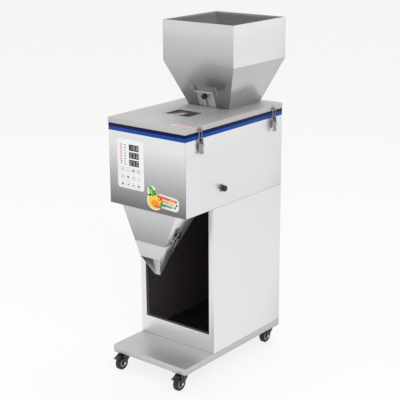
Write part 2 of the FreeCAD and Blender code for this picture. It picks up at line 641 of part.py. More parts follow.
def gate_knob():
    """A round clamp knob with a crown of finger scallops, on the stud."""
    start = GAP * 2 + GATE_SHEET
    end = start + GATE_KNOB_LENGTH
    body = rod(GATE_KNOB_R, slope_point(0, GATE_STUD_AT, start), slope_point(0, GATE_STUD_AT, end))
    bore = rod(GATE_STUD_R + RUNNING, slope_point(0, GATE_STUD_AT, 0),
               slope_point(0, GATE_STUD_AT, GATE_SHEET + GATE_KNOB_LENGTH - GATE_KNOB_CAP))
    scallops = []
    for i in range(SCALLOP_COUNT):
        turn = 2 * math.pi * (i + 0.5) / SCALLOP_COUNT
        reach = GATE_KNOB_R + SCALLOP_OUT
        x, up = reach * math.cos(turn), GATE_STUD_AT + reach * math.sin(turn)
        scallops.append(rod(SCALLOP_R, slope_point(x, up, start + SCALLOP_FOOT),
                            slope_point(x, up, end + OVERCUT)))
    keep("gate_knob", cut(body, bore, *scallops))


# ---------------------------------------------------------------- discharge funnel and spout
def funnel_lean():
    """Sideways fall of a funnel wall for each unit of depth."""
    return (FUNNEL_HALF_WIDTH - FUNNEL_TIP_HALF) / FUNNEL_TIP


def funnel_form(inset, top, bottom):
    """The funnel's outer or inner form between two depths below the housing's floor."""
    over = OVERCUT if inset else 0.0
    wide = FUNNEL_HALF_WIDTH - inset * math.sqrt(1 + funnel_lean() ** 2)
    upper, lower = wide + funnel_lean() * over, wide - funnel_lean() * (FUNNEL_TIP + over)
    z = (Z_HOUSING + over, Z_HOUSING - FUNNEL_TIP - over)
    across = plate([(-upper, -FAR, z[0]), (upper, -FAR, z[0]), (lower, -FAR, z[1]), (-lower, -FAR, z[1])],
                   (0, 2 * FAR, 0))
    front, tip = FUNNEL_FRONT_Y + inset, FUNNEL_TIP_REAR - inset
    outline = [(front, -over), (FUNNEL_REAR_Y - inset, -over), (FUNNEL_REAR_END - inset, FUNNEL_FRONT_END),
               (tip, FUNNEL_TIP)]
    if inset:
        below = FUNNEL_TIP + MOUTH_OVER
        outline += [(tip, below), (FUNNEL_TIP_REAR - FUNNEL_TIP_DEPTH - MOUTH_OVER, below),
                    (front - MOUTH_OVER, FUNNEL_FRONT_END + MOUTH_OVER / 2), (front, FUNNEL_FRONT_END)]
    else:
        outline += [(tip - FUNNEL_TIP_DEPTH, FUNNEL_TIP), (front, FUNNEL_FRONT_END)]
    side = plate([(-FAR, y, Z_HOUSING - depth) for y, depth in outline], (2 * FAR, 0, 0))
    return across.common(side).common(block((-FAR, FAR), (-FAR, FAR), (Z_HOUSING - bottom,
                                                                       Z_HOUSING - top)))


def funnel_parts():
    """The fixed funnel and the spout that clips under it, collared inside it."""
    hollow = funnel_form(SHEET, -2 * OVERCUT, FUNNEL_SEAM + OVERCUT)
    keep("discharge_funnel", funnel_form(0.0, 0, FUNNEL_SEAM).cut(hollow).removeSplitter())
    hollow = funnel_form(SHEET, FUNNEL_SEAM - OVERCUT, FUNNEL_TIP + MOUTH_OVER + OVERCUT)
    spout = funnel_form(0.0, FUNNEL_SEAM, FUNNEL_TIP).cut(hollow)
    collar = funnel_form(SHEET + SPOUT_PLAY, FUNNEL_SEAM - SPOUT_LAP, FUNNEL_SEAM + SHEET)
    shelf = funnel_form(0.0, FUNNEL_SEAM, FUNNEL_SEAM + SHEET)
    hollow = funnel_form(2 * SHEET + SPOUT_PLAY, FUNNEL_SEAM - SPOUT_LAP - OVERCUT,
                         FUNNEL_SEAM + SHEET + OVERCUT)
    keep("discharge_spout", join(spout, collar.fuse(shelf).cut(hollow)))


# ---------------------------------------------------------------- draw latches
def latch_frame(origin, out, toward):
    """Placement of a latch: its X runs across, Y out of the wall and Z towards the keeper."""
    y, z = V(*out).normalize(), V(*toward).normalize()
    x = y.cross(z)
    o = V(*origin)
    matrix = FreeCAD.Matrix(x.x, y.x, z.x, o.x, x.y, y.y, z.y, o.y, x.z, y.z, z.z, o.z, 0, 0, 0, 1)
    return FreeCAD.Placement(matrix)


def placed(shape, frame):
    """A copy of a shape moved into a latch's frame."""
    copy = shape.copy()
    copy.Placement = frame.multiply(copy.Placement)
    return copy


def latch_base():
    """Base plate with two ears, each carrying a short pivot rivet."""
    half = LATCH_BASE_WIDTH / 2
    foot = block((-half, half), (0, LATCH_SHEET), LATCH_BASE_Z)
    pieces = [foot.makeChamfer(LATCH_CORNER, edges_along(foot, "y"))]
    for side in (-1, 1):
        ear = block((side * LATCH_EAR_X, side * (LATCH_EAR_X + LATCH_SHEET)),
                    (0, LATCH_AXIS_OUT + LATCH_EAR_RISE),
                    (-LATCH_EAR_HALF, LATCH_EAR_HALF))
        ear = ear.makeChamfer(LATCH_EAR_CORNER, edges_along(ear, "x", lambda p: p.y > LATCH_AXIS_OUT))
        inner, outer = [side * x for x in LATCH_RIVET_X]
        pieces += [ear, rod(LATCH_PIN_R, (inner, LATCH_AXIS_OUT, 0), (outer, LATCH_AXIS_OUT, 0))]
    return join(*pieces)


def latch_lever():
    """A pressed lever: two flanges on the rivets, a waisted plate and an outward curl to pull on."""
    level = LATCH_AXIS_OUT + LEVER_RISE
    outline = list(LEVER_HALF) + [(-x, z) for x, z in LEVER_HALF[::-1]]
    skin = plate([(x, level, z) for x, z in outline], (0, LATCH_SHEET, 0))
    tip, end = LEVER_HALF[-1]
    rise, run = LEVER_CURL
    curl = plate([(-tip, level, end), (-tip, level + LATCH_SHEET, end), (-tip, level + LATCH_SHEET + rise,
                                                                         end - run),
                  (-tip, level + rise, end - run)], (2 * tip, 0, 0))
    pieces = [skin, curl]
    low, high = LATCH_AXIS_OUT - LEVER_RISE, level
    foot, shoulder, neck, crown = LEVER_FLANGE_Z
    for side in (-1, 1):
        x = min(side * LEVER_FLANGE_X, side * (LEVER_FLANGE_X + LATCH_SHEET))
        edge = [(low, neck), (low, shoulder), (high, foot), (high, neck), (high - LEVER_FLANGE_CORNER,
                                                                           crown),
                (low + LEVER_FLANGE_CORNER, crown)]
        pieces.append(plate([(x, y, z) for y, z in edge], (LATCH_SHEET, 0, 0)))
    across = (-LATCH_BASE_WIDTH, LATCH_BASE_WIDTH)
    pin = rod(LATCH_PIN_R + RUNNING, *[(x, LATCH_AXIS_OUT, 0) for x in across])
    wire = rod(LATCH_WIRE_R + RUNNING, *[(x, LATCH_AXIS_OUT, -LATCH_THROW) for x in across])
    return cut(join(*pieces), pin, wire)


def latch_bail():
    """A wire loop: feet in the lever's flanges, two legs and a cross bar behind the keeper's hook."""
    y, low, high = LATCH_AXIS_OUT, -LATCH_THROW, LATCH_REACH
    corners = [(-BAIL_FOOT_X, low), (-BAIL_LEG_X, low), (-BAIL_LEG_X, high), (BAIL_LEG_X, high),
               (BAIL_LEG_X, low),
               (BAIL_FOOT_X, low)]
    path = Part.makePolygon([V(x, y, z) for x, z in corners])
    section = Part.Wire(Part.makeCircle(LATCH_WIRE_R, V(-BAIL_FOOT_X, y, low), V(1, 0, 0)))
    return path.makePipeShell([section], True, False, 1)


def latch_keeper(stand):
    """A plate with a ledge and an upturned lip that the bail's cross bar sits behind."""
    bar = LATCH_REACH - LATCH_WIRE_R - GAP
    lip_y = LATCH_AXIS_OUT + LATCH_WIRE_R + LATCH_THROW - GAP
    back = block((-KEEPER_HALF, KEEPER_HALF), (stand, stand + LATCH_SHEET),
                 [bar + edge for edge in KEEPER_Z])
    back = back.makeChamfer(KEEPER_CORNER, edges_along(back, "y"))
    ledge = block((-HOOK_HALF, HOOK_HALF), (stand, lip_y + LATCH_SHEET), (bar - LATCH_SHEET, bar))
    lip = block((-HOOK_HALF, HOOK_HALF), (lip_y, lip_y + LATCH_SHEET), (bar - LATCH_SHEET, bar + HOOK_LIP))
    return join(back, ledge, lip)


def latch_places():
    """Name, frame and keeper stand-off of all six latches."""
    found = []
    lean = funnel_lean()
    depth = FUNNEL_SEAM - SPOUT_LATCH_RISE / math.sqrt(1 + lean ** 2)
    for side, hand in ((-1, "left"), (1, "right")):
        for y, end in zip(LID_LATCH_Y, ("front", "rear")):
            frame = latch_frame((side * HALF, y, Z_SEAL - LID_LATCH_DROP), (side, 0, 0), (0, 0, 1))
            found.append((f"lid_latch_{end}_{hand}", frame, LID_OVERHANG))
        foot = (side * (FUNNEL_HALF_WIDTH - lean * depth), SPOUT_LATCH_Y, Z_HOUSING - depth)
        frame = latch_frame(foot, (side, 0, -lean), (-side * lean, 0, -1))
        found.append((f"spout_latch_{hand}", frame, 0.0))
    return found


def latches():
    """Six draw latches: a lever and a bail each, with all bases and all keepers grouped."""
    base, lever, bail = latch_base(), latch_lever(), latch_bail()
    places = latch_places()
    keep("latch_bases", *[placed(base, frame) for _, frame, _ in places])
    keep("latch_keepers", *[placed(latch_keeper(stand), frame) for _, frame, stand in places])
    for name, frame, _ in places:
        keep(f"{name}_lever", placed(lever, frame))
        keep(f"{name}_bail", placed(bail, frame))


def lock_knob():
    """The round knob on the right side, with its stem through the wall."""
    z = Z_HOUSING + LOCK_Z
    start = HALF + GAP
    end = start + LOCK_KNOB_LENGTH
    profile = [(start, 0), (start, LOCK_KNOB_R), (end - LOCK_KNOB_BEVEL, LOCK_KNOB_R),
               (end, LOCK_KNOB_R - LOCK_KNOB_BEVEL), (end, 0), (start, 0)]
    face = Part.Face(Part.makePolygon([V(x, LOCK_Y + radius, z) for x, radius in profile]))
    knob = face.revolve(V(0, LOCK_Y, z), V(1, 0, 0), 360)
    stem = rod(LOCK_STEM_R, (HALF - SHEET - LOCK_STEM_INSIDE, LOCK_Y, z), (start + LOCK_KNOB_BEVEL, LOCK_Y,
                                                                           z))
    keep("lock_knob", join(knob, stem))


# ---------------------------------------------------------------- casters
def caster_rows():
    """Y of the front and the rear swivel axes."""
    return CASTER_INSET - TRAY_NOSE, BODY_DEPTH - CASTER_INSET


def caster_plate(x, y):
    """Top plate with the upper race cup and the kingpin."""
    wide, deep, thick = CASTER_PLATE
    low = Z_TRAY - thick
    top = block((x - wide / 2, x + wide / 2), (y - deep / 2, y + deep / 2), (low, Z_TRAY))
    top = top.makeChamfer(CASTER_PLATE_CORNER, upright_edges(top))
    race = Part.makeCone(RACE_R - RACE_TAPER, RACE_R, RACE_HEIGHT, V(x, y, low - RACE_HEIGHT))
    return join(top, race, rod(KINGPIN_R, (x, y, low - KINGPIN_LENGTH), (x, y, low)))


def pedal_pivot(y):
    """Y and Z of a brake pedal's pin, for a swivel axis at y."""
    return y - RACE_R - PEDAL_AT[0], WHEEL_R * 2 + PEDAL_AT[1]


def fork_cheek(start, y, side, levels, braked):
    """One cheek: it hangs from the crown, narrows and trails to a round foot about the axle."""
    crown_top, crown_low = levels
    axle_y = y - CASTER_TRAIL
    front, rear = y - RACE_R + CROWN_FRONT, y + RACE_R - CROWN_REAR
    rear_drop, front_drop = CHEEK_WAIST
    outline = [(front, crown_top), (rear, crown_top), (rear - CROWN_REAR / 2, crown_low - rear_drop),
               (axle_y + FORK_FOOT_R, WHEEL_R - CHEEK_END), (axle_y - FORK_FOOT_R, WHEEL_R - CHEEK_END),
               (axle_y - FORK_FOOT_R, crown_low - front_drop)]
    wall = (side * FORK_SHEET, 0, 0)
    shapes = [plate([(start, at, z) for at, z in outline], wall),
              rod(FORK_FOOT_R, (start, axle_y, WHEEL_R), (start + wall[0], axle_y, WHEEL_R))]
    if braked:
        pin_y, pin_z = pedal_pivot(y)
        shapes.append(rod(PEDAL_PIN_R + PEDAL_EYE, (start, pin_y, pin_z), (start + wall[0], pin_y, pin_z)))
    return shapes


def caster_fork(x, y, braked):
    """A pressed swivel housing, crowned round the kingpin, with cheeks down to the axle, and the axle."""
    crown_top = Z_TRAY - CASTER_PLATE[2] - RACE_HEIGHT - GAP
    crown_low = WHEEL_R * 2 + FORK_TOP
    inner = WHEEL_WIDTH / 2 + FORK_SIDE
    outer = inner + FORK_SHEET
    axle_y, axle_z = y - CASTER_TRAIL, WHEEL_R
    web = block((x - outer, x + outer), (y - RACE_R + CROWN_FRONT, y + RACE_R - CROWN_REAR), (crown_low,
                                                                                              crown_top))
    pieces = [rod(RACE_R, (x, y, crown_low), (x, y, crown_top)), web]
    for side in (-1, 1):
        pieces += fork_cheek(x + side * inner, y, side, (crown_top, crown_low), braked)
    holes = [rod(KINGPIN_R + RUNNING, (x, y, crown_low - OVERCUT), (x, y, crown_top + OVERCUT)),
             rod(AXLE_R, (x - RACE_R, axle_y, axle_z), (x + RACE_R, axle_y, axle_z))]
    if braked:
        pin_y, pin_z = pedal_pivot(y)
        holes.append(rod(PEDAL_PIN_R + RUNNING, (x - RACE_R, pin_y, pin_z), (x + RACE_R, pin_y, pin_z)))
    axle = rod(AXLE_R, (x - outer, axle_y, axle_z), (x + outer, axle_y, axle_z))
    heads = [rod(AXLE_R + AXLE_HEAD, (x + side * outer, axle_y, axle_z),
                 (x + side * (outer + AXLE_HEAD), axle_y, axle_z)) for side in (-1, 1)]
    return cut(join(*pieces), *holes), join(axle, *heads)


def caster_wheel(x, y):
    """Tyre and dished hub in one turned wheel with a plain bore."""
    half = WHEEL_WIDTH / 2
    bore = AXLE_R + RUNNING
    boss, web = AXLE_R + HUB_BOSS, half - HUB_DISH
    rim_foot, rim_edge = [WHEEL_R - depth for depth in HUB_RIM]
    side = [(boss, half), (boss + 1, web), (rim_foot, web), (rim_edge, half - TYRE_IN),
            (WHEEL_R - WHEEL_BEVEL, half - TYRE_IN), (WHEEL_R, half - WHEEL_BEVEL - TYRE_SHOULDER)]
    profile = [(bore, -half)] + [(r, -w) for r, w in side] + side[::-1] + [(bore, half)]
    axle_y = y - CASTER_TRAIL
    points = [V(x + w, axle_y, WHEEL_R + r) for r, w in profile]
    face = Part.Face(Part.makePolygon(points + [points[0]]))
    return face.revolve(V(x, axle_y, WHEEL_R), V(1, 0, 0), 360)


def brake_pedal(x, y):
    """A foot pedal hinged on the fork's cheeks, with a pad over the tyre."""
    reach = WHEEL_WIDTH / 2 + FORK_SIDE + FORK_SHEET - GAP
    pivot_y, pivot_z = pedal_pivot(y)
    tread = plate([(x - PEDAL_HALF, pivot_y + ahead, pivot_z + up) for ahead, up in PEDAL_OUTLINE],
                  (2 * PEDAL_HALF, 0, 0))
    pad_y = pivot_y + min(ahead for ahead, _ in PEDAL_OUTLINE)
    tread = tread.makeFillet(PEDAL_EDGE, edges_along(tread, "x", lambda p: p.y < pad_y + 2 * PEDAL_EDGE))
    return join(tread, rod(PEDAL_PIN_R, (x - reach, pivot_y, pivot_z), (x + reach, pivot_y, pivot_z)))


def casters():
    """Four swivel casters trailing to the front, the front pair with brake pedals."""
    plates = []
    for row_y, end in zip(caster_rows(), ("front", "rear")):
        for side, hand in ((-1, "left"), (1, "right")):
            x = side * CASTER_X
            plates.append(caster_plate(x, row_y))
            fork, axle = caster_fork(x, row_y, end == "front")
            name = f"caster_{end}_{hand}"
            keep(f"{name}_fork", fork)
            keep(f"{name}_axle", axle)
            keep(f"{name}_wheel", caster_wheel(x, row_y))
            if end == "front":
                keep(f"{name}_pedal", brake_pedal(x, row_y))
    keep("caster_plates", *plates)


# ---------------------------------------------------------------- feeder
def feed_trough():
    """A tray in plan wide under the outlet and narrow over the bucket, open at its front."""
    rear, front = TROUGH_REAR_WIDTH / 2, TROUGH_FRONT_WIDTH / 2
    y0, y1 = TROUGH_NARROW_Y
    z = Z_HOUSING + TROUGH_FLOOR

    def plan(inset, ahead, level):
        return [(-front + inset, TROUGH_FRONT_Y - ahead, level), (front - inset, TROUGH_FRONT_Y - ahead,
                                                                  level),
                (front - inset, y0 + inset / 2, level), (rear - inset, y1 + inset / 2, level),
                (rear - inset, TROUGH_REAR_Y - inset, level), (-rear + inset, TROUGH_REAR_Y - inset, level),
                (-rear + inset, y1 + inset / 2, level), (-front + inset, y0 + inset / 2, level)]
    outer = plate(plan(0.0, 0.0, z), (0, 0, TROUGH_WALL))
    inner = plate(plan(SHEET, 1.0, z + SHEET), (0, 0, TROUGH_WALL))
    keep("feed_trough", cut(outer, inner))


def rubber_feet(y, floor):
    """Four round mounts under the base's corners."""
    x_far = FEEDER_BASE[0] / 2 - RUBBER_R
    places = [(x, at) for x in (-x_far, x_far) for at in (y[0] + RUBBER_R, y[1] - RUBBER_R)]
    return [rod(RUBBER_R, (x, at, floor), (x, at, floor + RUBBER_HEIGHT)) for x, at in places]


def leaf_spring(at, low, high):
    """One leaning leaf between the base and the carrier."""
    x = -SPRING_WIDTH / 2
    edge = [(at, low), (at + SPRING_SHEET, low), (at + SPRING_SHEET + SPRING_LEAN, high), (at + SPRING_LEAN,
                                                                                           high)]
    return plate([(x, y, z) for y, z in edge], (SPRING_WIDTH, 0, 0))


def feeder_drive():
    """Base on rubber mounts, leaning leaf springs, electromagnet, and the sprung carrier under the trough."""
    floor = Z_HOUSING + SHEET
    wide, long, thick = FEEDER_BASE
    y = (FEEDER_CENTRE_Y - long / 2, FEEDER_CENTRE_Y + long / 2)
    keep("rubber_mounts", *rubber_feet(y, floor))
    low = floor + RUBBER_HEIGHT + thick
    base = block((-wide / 2, wide / 2), y, (low - thick, low))
    keep("feeder_base", base.makeFillet(FEEDER_CORNER, upright_edges(base)))

    trough_z = Z_HOUSING + TROUGH_FLOOR
    carrier_z = trough_z - CARRIER_DEPTH
    starts = (y[0] + SPRING_INSET[0], y[1] - SPRING_LEAN - SPRING_INSET[1])
    keep("leaf_springs", *[leaf_spring(at, low, carrier_z) for at in starts])

    mw, ml, mh = MAGNET
    ends = (FEEDER_CENTRE_Y - ml / 2, FEEDER_CENTRE_Y + ml / 2)
    coil = block((-mw / 2, mw / 2), (ends[0], ends[1] - COIL_SHORT), (low, low + mh))
    coil = coil.makeFillet(COIL_CORNER, edges_along(coil, "y"))
    core = block((-mw / 4, mw / 4), (ends[0] + CORE_INSET, ends[1]), (low + mh / 4, low + 3 * mh / 4))
    keep("electromagnet", join(coil, core))

    half, wall, over = wide / 3, CARRIER_WALL, CARRIER_OVER
    rail = block((-half, half), (y[0] - over, y[1] + over), (carrier_z, trough_z))
    rail = rail.cut(block((wall - half, half - wall), (y[0] - over + wall, y[1] + over - wall),
                          (carrier_z + wall, trough_z + OVERCUT)))
    arm_y = ends[1] + MAGNET_AIR_GAP
    arm = block((-mw / 3, mw / 3), (arm_y, arm_y + ARMATURE_THICK), (low + mh / 4, carrier_z + wall / 3))
    keep("trough_carrier", join(rail, arm))


# ---------------------------------------------------------------- weigh bucket
def bucket_outline(inset, over):
    """The bucket's side view: upright front and back, and a floor that falls to the front."""
    y0, y1 = BUCKET_FRONT_Y, BUCKET_FRONT_Y + BUCKET_LENGTH
    top = Z_HOUSING + BUCKET_TOP
    return [(y0 + inset, top + over), (y0 + inset, top - BUCKET_FRONT_DROP - over),
            (y1 - inset, top - BUCKET_REAR_DROP - over), (y1 - inset, top + over)]


def door_axis():
    """Y and Z of the bucket door's hinge."""
    behind, below = DOOR_HINGE
    return BUCKET_FRONT_Y + BUCKET_LENGTH + behind, Z_HOUSING + BUCKET_TOP - BUCKET_REAR_DROP - below


def weigh_bucket():
    """Sheet bucket open above and below, with hinge ears and the angle that hangs it on the load cell."""
    half = BUCKET_WIDTH / 2
    outer = plate([(-half, y, z) for y, z in bucket_outline(0.0, 0.0)], (2 * half, 0, 0))
    inner = plate([(SHEET - half, y, z) for y, z in bucket_outline(SHEET, OVERCUT)], (2 * (half - SHEET), 0,
                                                                                      0))
    hinge_y, hinge_z = door_axis()
    rear = BUCKET_FRONT_Y + BUCKET_LENGTH
    pieces = [outer.cut(inner)]
    for side in (-1, 1):
        x = [side * edge for edge in BUCKET_EAR_X]
        pieces.append(block(x, (rear - SHEET, hinge_y), (hinge_z + DOOR_HINGE[1],
                                                         hinge_z + BUCKET_EAR_HEIGHT)))
        pieces.append(block(x, (rear, hinge_y), (hinge_z, hinge_z + BUCKET_EAR_THROAT)))
        pieces.append(rod(DOOR_PIN_R + HINGE_EYE, (x[0], hinge_y, hinge_z), (x[1], hinge_y, hinge_z)))
    pieces.append(rod(DOOR_PIN_R, (-DOOR_PIN_HALF, hinge_y, hinge_z), (DOOR_PIN_HALF, hinge_y, hinge_z)))
    cell_top = load_cell_box()[2][1]
    side = LOAD_CELL[0] + HANGER_SIDE
    thick, shelf, drop = HANGER
    pieces.append(block((-side, side), (rear - SHEET, rear + shelf), (cell_top, cell_top + thick)))
    pieces.append(block((-side, side), (rear - SHEET, rear + 2), (cell_top - drop, cell_top + thick)))
    keep("weigh_bucket", join(*pieces))


def bucket_door():
    """The sloping flap that closes the bucket, with two knuckles on the pin and a tail for the solenoid."""
    half = BUCKET_WIDTH / 2
    hinge_y, hinge_z = door_axis()
    _, front, rear, _ = bucket_outline(0.0, 0.0)
    rise = (rear[1] - front[1]) / (rear[0] - front[0])
    gap = GAP * math.sqrt(1 + rise ** 2)
    y0, y1 = front[0] - 1, rear[0]
    z0, z1 = front[1] - rise - gap, rear[1] - gap
    flap = plate([(-half, y0, z0), (-half, y1, z1), (-half, y1, z1 - DOOR_THICK), (-half, y0,
                                                                                   z0 - DOOR_THICK)],
                 (2 * half, 0, 0))
    pieces = [flap]
    arm_z = z1 - DOOR_ARM * rise
    top, under = DOOR_ARM_DEPTH
    edge = [(y1 - DOOR_ARM, arm_z - top), (y1, z1 - top), (hinge_y, hinge_z + DOOR_EYE_SPAN[0]),
            (hinge_y, hinge_z + DOOR_EYE_SPAN[1]), (y1 - DOOR_ARM, arm_z - under)]
    for side in (-1, 1):
        x = sorted(side * at for at in DOOR_KNUCKLE_X)
        pieces.append(plate([(x[0], y, z) for y, z in edge], (x[1] - x[0], 0, 0)))
        pieces.append(rod(DOOR_PIN_R + HINGE_EYE, (x[0], hinge_y, hinge_z), (x[1], hinge_y, hinge_z)))
    deep, bar_top, bar_low = DOOR_BAR
    reach = DOOR_KNUCKLE_X[1]
    pieces.append(block((-reach, reach), (hinge_y - deep, hinge_y + deep), (hinge_z - bar_low,
                                                                            hinge_z - bar_top)))
    tail, thick, drop = DOOR_TAIL
    pieces.append(block((-tail, tail), (hinge_y, hinge_y + thick), (hinge_z - drop, hinge_z - thick)))
    pin = rod(DOOR_PIN_R + RUNNING, (-half, hinge_y, hinge_z), (half, hinge_y, hinge_z))
    keep("bucket_door", cut(join(*pieces), pin))


def load_cell_box():
    """The load cell bar's x, y and z spans."""
    wide, long, high = LOAD_CELL
    front = BUCKET_FRONT_Y + BUCKET_LENGTH + LOAD_CELL_BEHIND
    low = Z_HOUSING + BUCKET_TOP - LOAD_CELL_DROP
    return (-wide / 2, wide / 2), (front, front + long), (low, low + high)


def load_cell():
    """The bar with its bored waist."""
    x, y, z = load_cell_box()
    middle_y, middle_z = (y[0] + y[1]) / 2, (z[0] + z[1]) / 2
    places = [middle_y + side * LOAD_CELL_HOLE_PITCH / 2 for side in (-1, 1)]
    holes = [rod(LOAD_CELL_HOLE_R, (x[0] - OVERCUT, at, middle_z), (x[1] + OVERCUT, at,
                                                                    middle_z)) for at in places]
    keep("load_cell", cut(block(x, y, z), *holes))


def scale_bracket(body_y, body_low):
    """The load cell's boxed post and the solenoid's stand on one foot plate."""
    _, y, z = load_cell_box()
    floor = Z_HOUSING + SHEET
    half, wall = POST[0] / 2, POST[2]
    post_y = (y[1] - POST_LAP, y[1] - POST_LAP + POST[1])
    post = block((-half, half), post_y, (floor, z[0]))
    post = post.cut(block((wall - half, half - wall), (post_y[0] - POST_CAP, post_y[1] - wall),
                          (floor + POST_CAP, z[0] - POST_CAP)))
    reach, thin = SOLENOID[0] / 2, STAND_WALL
    stand = block((-reach, reach), body_y, (floor, body_low))
    stand = stand.cut(block((thin - reach, reach - thin), (body_y[0] - OVERCUT, body_y[1] + OVERCUT),
                            (floor + thin, body_low - thin)))
    foot = block((-half, half), (body_y[0] - wall, post_y[1]), (floor, floor + thin))
    keep("scale_bracket", join(post, stand, foot))


def scale_parts():
    """Load cell, its bracket, and the door solenoid with its plunger."""
    load_cell()
    hinge_y, hinge_z = door_axis()
    wide, long, high = SOLENOID
    front = hinge_y + SOLENOID_AT[0]
    body_y = (front, front + long)
    axis_z = hinge_z - SOLENOID_AT[1]
    scale_bracket(body_y, axis_z - high / 2)
    body = block((-wide / 2, wide / 2), body_y, (axis_z - high / 2, axis_z + high / 2))
    body = body.makeFillet(SOLENOID_CORNER, edges_along(body, "y"))
    bore = rod(PLUNGER_R + RUNNING, (0, body_y[0] - OVERCUT, axis_z), (0, body_y[1] - SOLENOID_END, axis_z))
    keep("door_solenoid", body.cut(bore))
    rear = body_y[1] - PLUNGER_TRAVEL - PLUNGER_ROOM
    keep("solenoid_plunger", rod(PLUNGER_R, (0, hinge_y + PLUNGER_NOSE, axis_z), (0, rear, axis_z)))


# ---------------------------------------------------------------- control panel and electrics
def control_panel():
    """The printed keypad film, three display modules in its windows and the board they stand on."""
    film_gap, module_gap = DISPLAY_ROOM
    z = (Z_HOUSING + OVERLAY_BOTTOM, Z_HOUSING + OVERLAY_TOP)
    film = block((OVERLAY_LEFT, OVERLAY_RIGHT), (-OVERLAY_THICK, 0), z)
    film = film.makeFillet(OVERLAY_CORNER, edges_along(film, "y"))
    windows = [block(*display_box(i, film_gap, -OVERLAY_THICK - OVERCUT,
                                  OVERCUT)) for i in range(DISPLAY_COUNT)]
    keep("keypad_film", cut(film, *windows))
    board_y = SHEET + BOARD_STAND
    modules = [block(*display_box(i, module_gap, -OVERLAY_THICK / 2,
                                  board_y)) for i in range(DISPLAY_COUNT)]
    keep("display_modules", *modules)
    board = block((OVERLAY_LEFT + BOARD_EDGE, OVERLAY_RIGHT - BOARD_EDGE), (board_y, board_y + BOARD_THICK),
                  (z[0] + BOARD_EDGE, z[1] - BOARD_EDGE))
    posts = [rod(STANDOFF_R, (x, SHEET, at), (x, board_y, at))
             for x in (OVERLAY_LEFT + STANDOFF_IN, OVERLAY_RIGHT - STANDOFF_IN)
             for at in (z[0] + STANDOFF_IN, z[1] - STANDOFF_IN)]
    face = board_y + BOARD_THICK
    chips = [block([OVERLAY_LEFT + at for at in x], (face, face + high), [z[0] + at for at in up])
             for x, up, high in CHIPS]
    keep("control_board", join(board, *posts, *chips))


def power_parts():
    """Combined inlet with its switch rocker on the rear wall."""
    bw, bh, bt = INLET_BEZEL
    z = Z_HOUSING + INLET_Z
    face = BODY_DEPTH + bt
    bezel = block((INLET_X - bw / 2, INLET_X + bw / 2), (BODY_DEPTH, face), (z - bh / 2, z + bh / 2))
    bezel = bezel.makeFillet(INLET_LAP, edges_along(bezel, "y"))
    half, tall = bw / 2 - INLET_LAP - GAP, bh / 2 - INLET_LAP - GAP
    body = block((INLET_X - half, INLET_X + half), (BODY_DEPTH - INLET_BODY_DEPTH, BODY_DEPTH), (z - tall,
                                                                                                 z + tall))
    well_z = z - INLET_WELL_DROP
    wide, high, deep = INLET_WELL
    well = block((INLET_X - wide / 2, INLET_X + wide / 2), (BODY_DEPTH - deep, face + OVERCUT),
                 (well_z - high / 2, well_z + high / 2))
    well = well.makeFillet(INLET_LAP, edges_along(well, "y", lambda p: p.z > well_z))
    pin_wide, pin_high, pin_long = INLET_PIN
    foot = BODY_DEPTH - deep - OVERCUT
    pins = [block((INLET_X + dx - pin_wide / 2, INLET_X + dx + pin_wide / 2), (foot, foot + pin_long),
                  (well_z + dz - pin_high / 2, well_z + dz + pin_high / 2)) for dx, dz in INLET_PINS]
    pivot_y, pivot_z = BODY_DEPTH - ROCKER_PIVOT, z + ROCKER_RISE
    rw, rh = ROCKER
    ahead, room = ROCKER_SIDE
    nest = block((INLET_X - rw / 2 - GAP, INLET_X + rw / 2 + GAP), (pivot_y - ahead, face + OVERCUT),
                 (pivot_z - rh / 2 - room, pivot_z + rh / 2 + room))
    keep("power_inlet", join(cut(join(bezel, body), well, nest), *pins))
    rocker = block((INLET_X - rw / 2, INLET_X + rw / 2), (pivot_y - ROCKER_DEPTH, face + ROCKER_OVER),
                   (pivot_z - rh / 2, pivot_z + rh / 2))
    across = (INLET_X - rw, INLET_X + rw)
    dish = rod(ROCKER_DISH_R, *[(x, face + ROCKER_DISH, pivot_z) for x in across])
    round_off = rod(rh / 2 + ROCKER_EDGE, *[(x, pivot_y, pivot_z) for x in across])
    keep("power_rocker", rocker.cut(dish).common(round_off))


# ---------------------------------------------------------------- build and write
def build():
    """Make every node, then put the origin under the middle of the footprint."""
    base_tray()
    cabinet_shell()
    rear_service_panel()
    housing_shell()
    front_fascia()
    lid_seal()
    lid()
    lid_window()
    hopper()
    hopper_gate()
    gate_knob()
    funnel_parts()
    latches()
    lock_knob()
    casters()
    feed_trough()
    feeder_drive()
    weigh_bucket()
    bucket_door()
    scale_parts()
    control_panel()
    power_parts()
    whole = FreeCAD.BoundBox()
    for shape in nodes.values():
        whole.add(shape.BoundBox)
    return V(0, -(whole.YMin + whole.YMax) / 2, 0)


def write(shift):
    """Write one STEP file for each node."""
    os.makedirs("parts", exist_ok=True)
    for name, shape in nodes.items():
        moved = shape.copy()
        moved.translate(shift)
        moved.exportStep(f"parts/{name}.step")


SHIFT = build()
write(SHIFT)
print(f"{len(nodes)} nodes, fascia at y = {SHIFT.y:.3f}")
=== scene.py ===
"""Looks of a free-standing weighing filler: hopper, overhung head, funnel spout, open cabinet and casters.

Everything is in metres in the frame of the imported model: +Z up, +X to the machine's right, the control
panel faces -Y and the floor is at z = 0.
"""
from __future__ import annotations

import json
import logging
import math
from dataclasses import dataclass
from enum import Enum
from typing import Iterable, Sequence

import bmesh
import bpy
from mathutils import Matrix, Vector


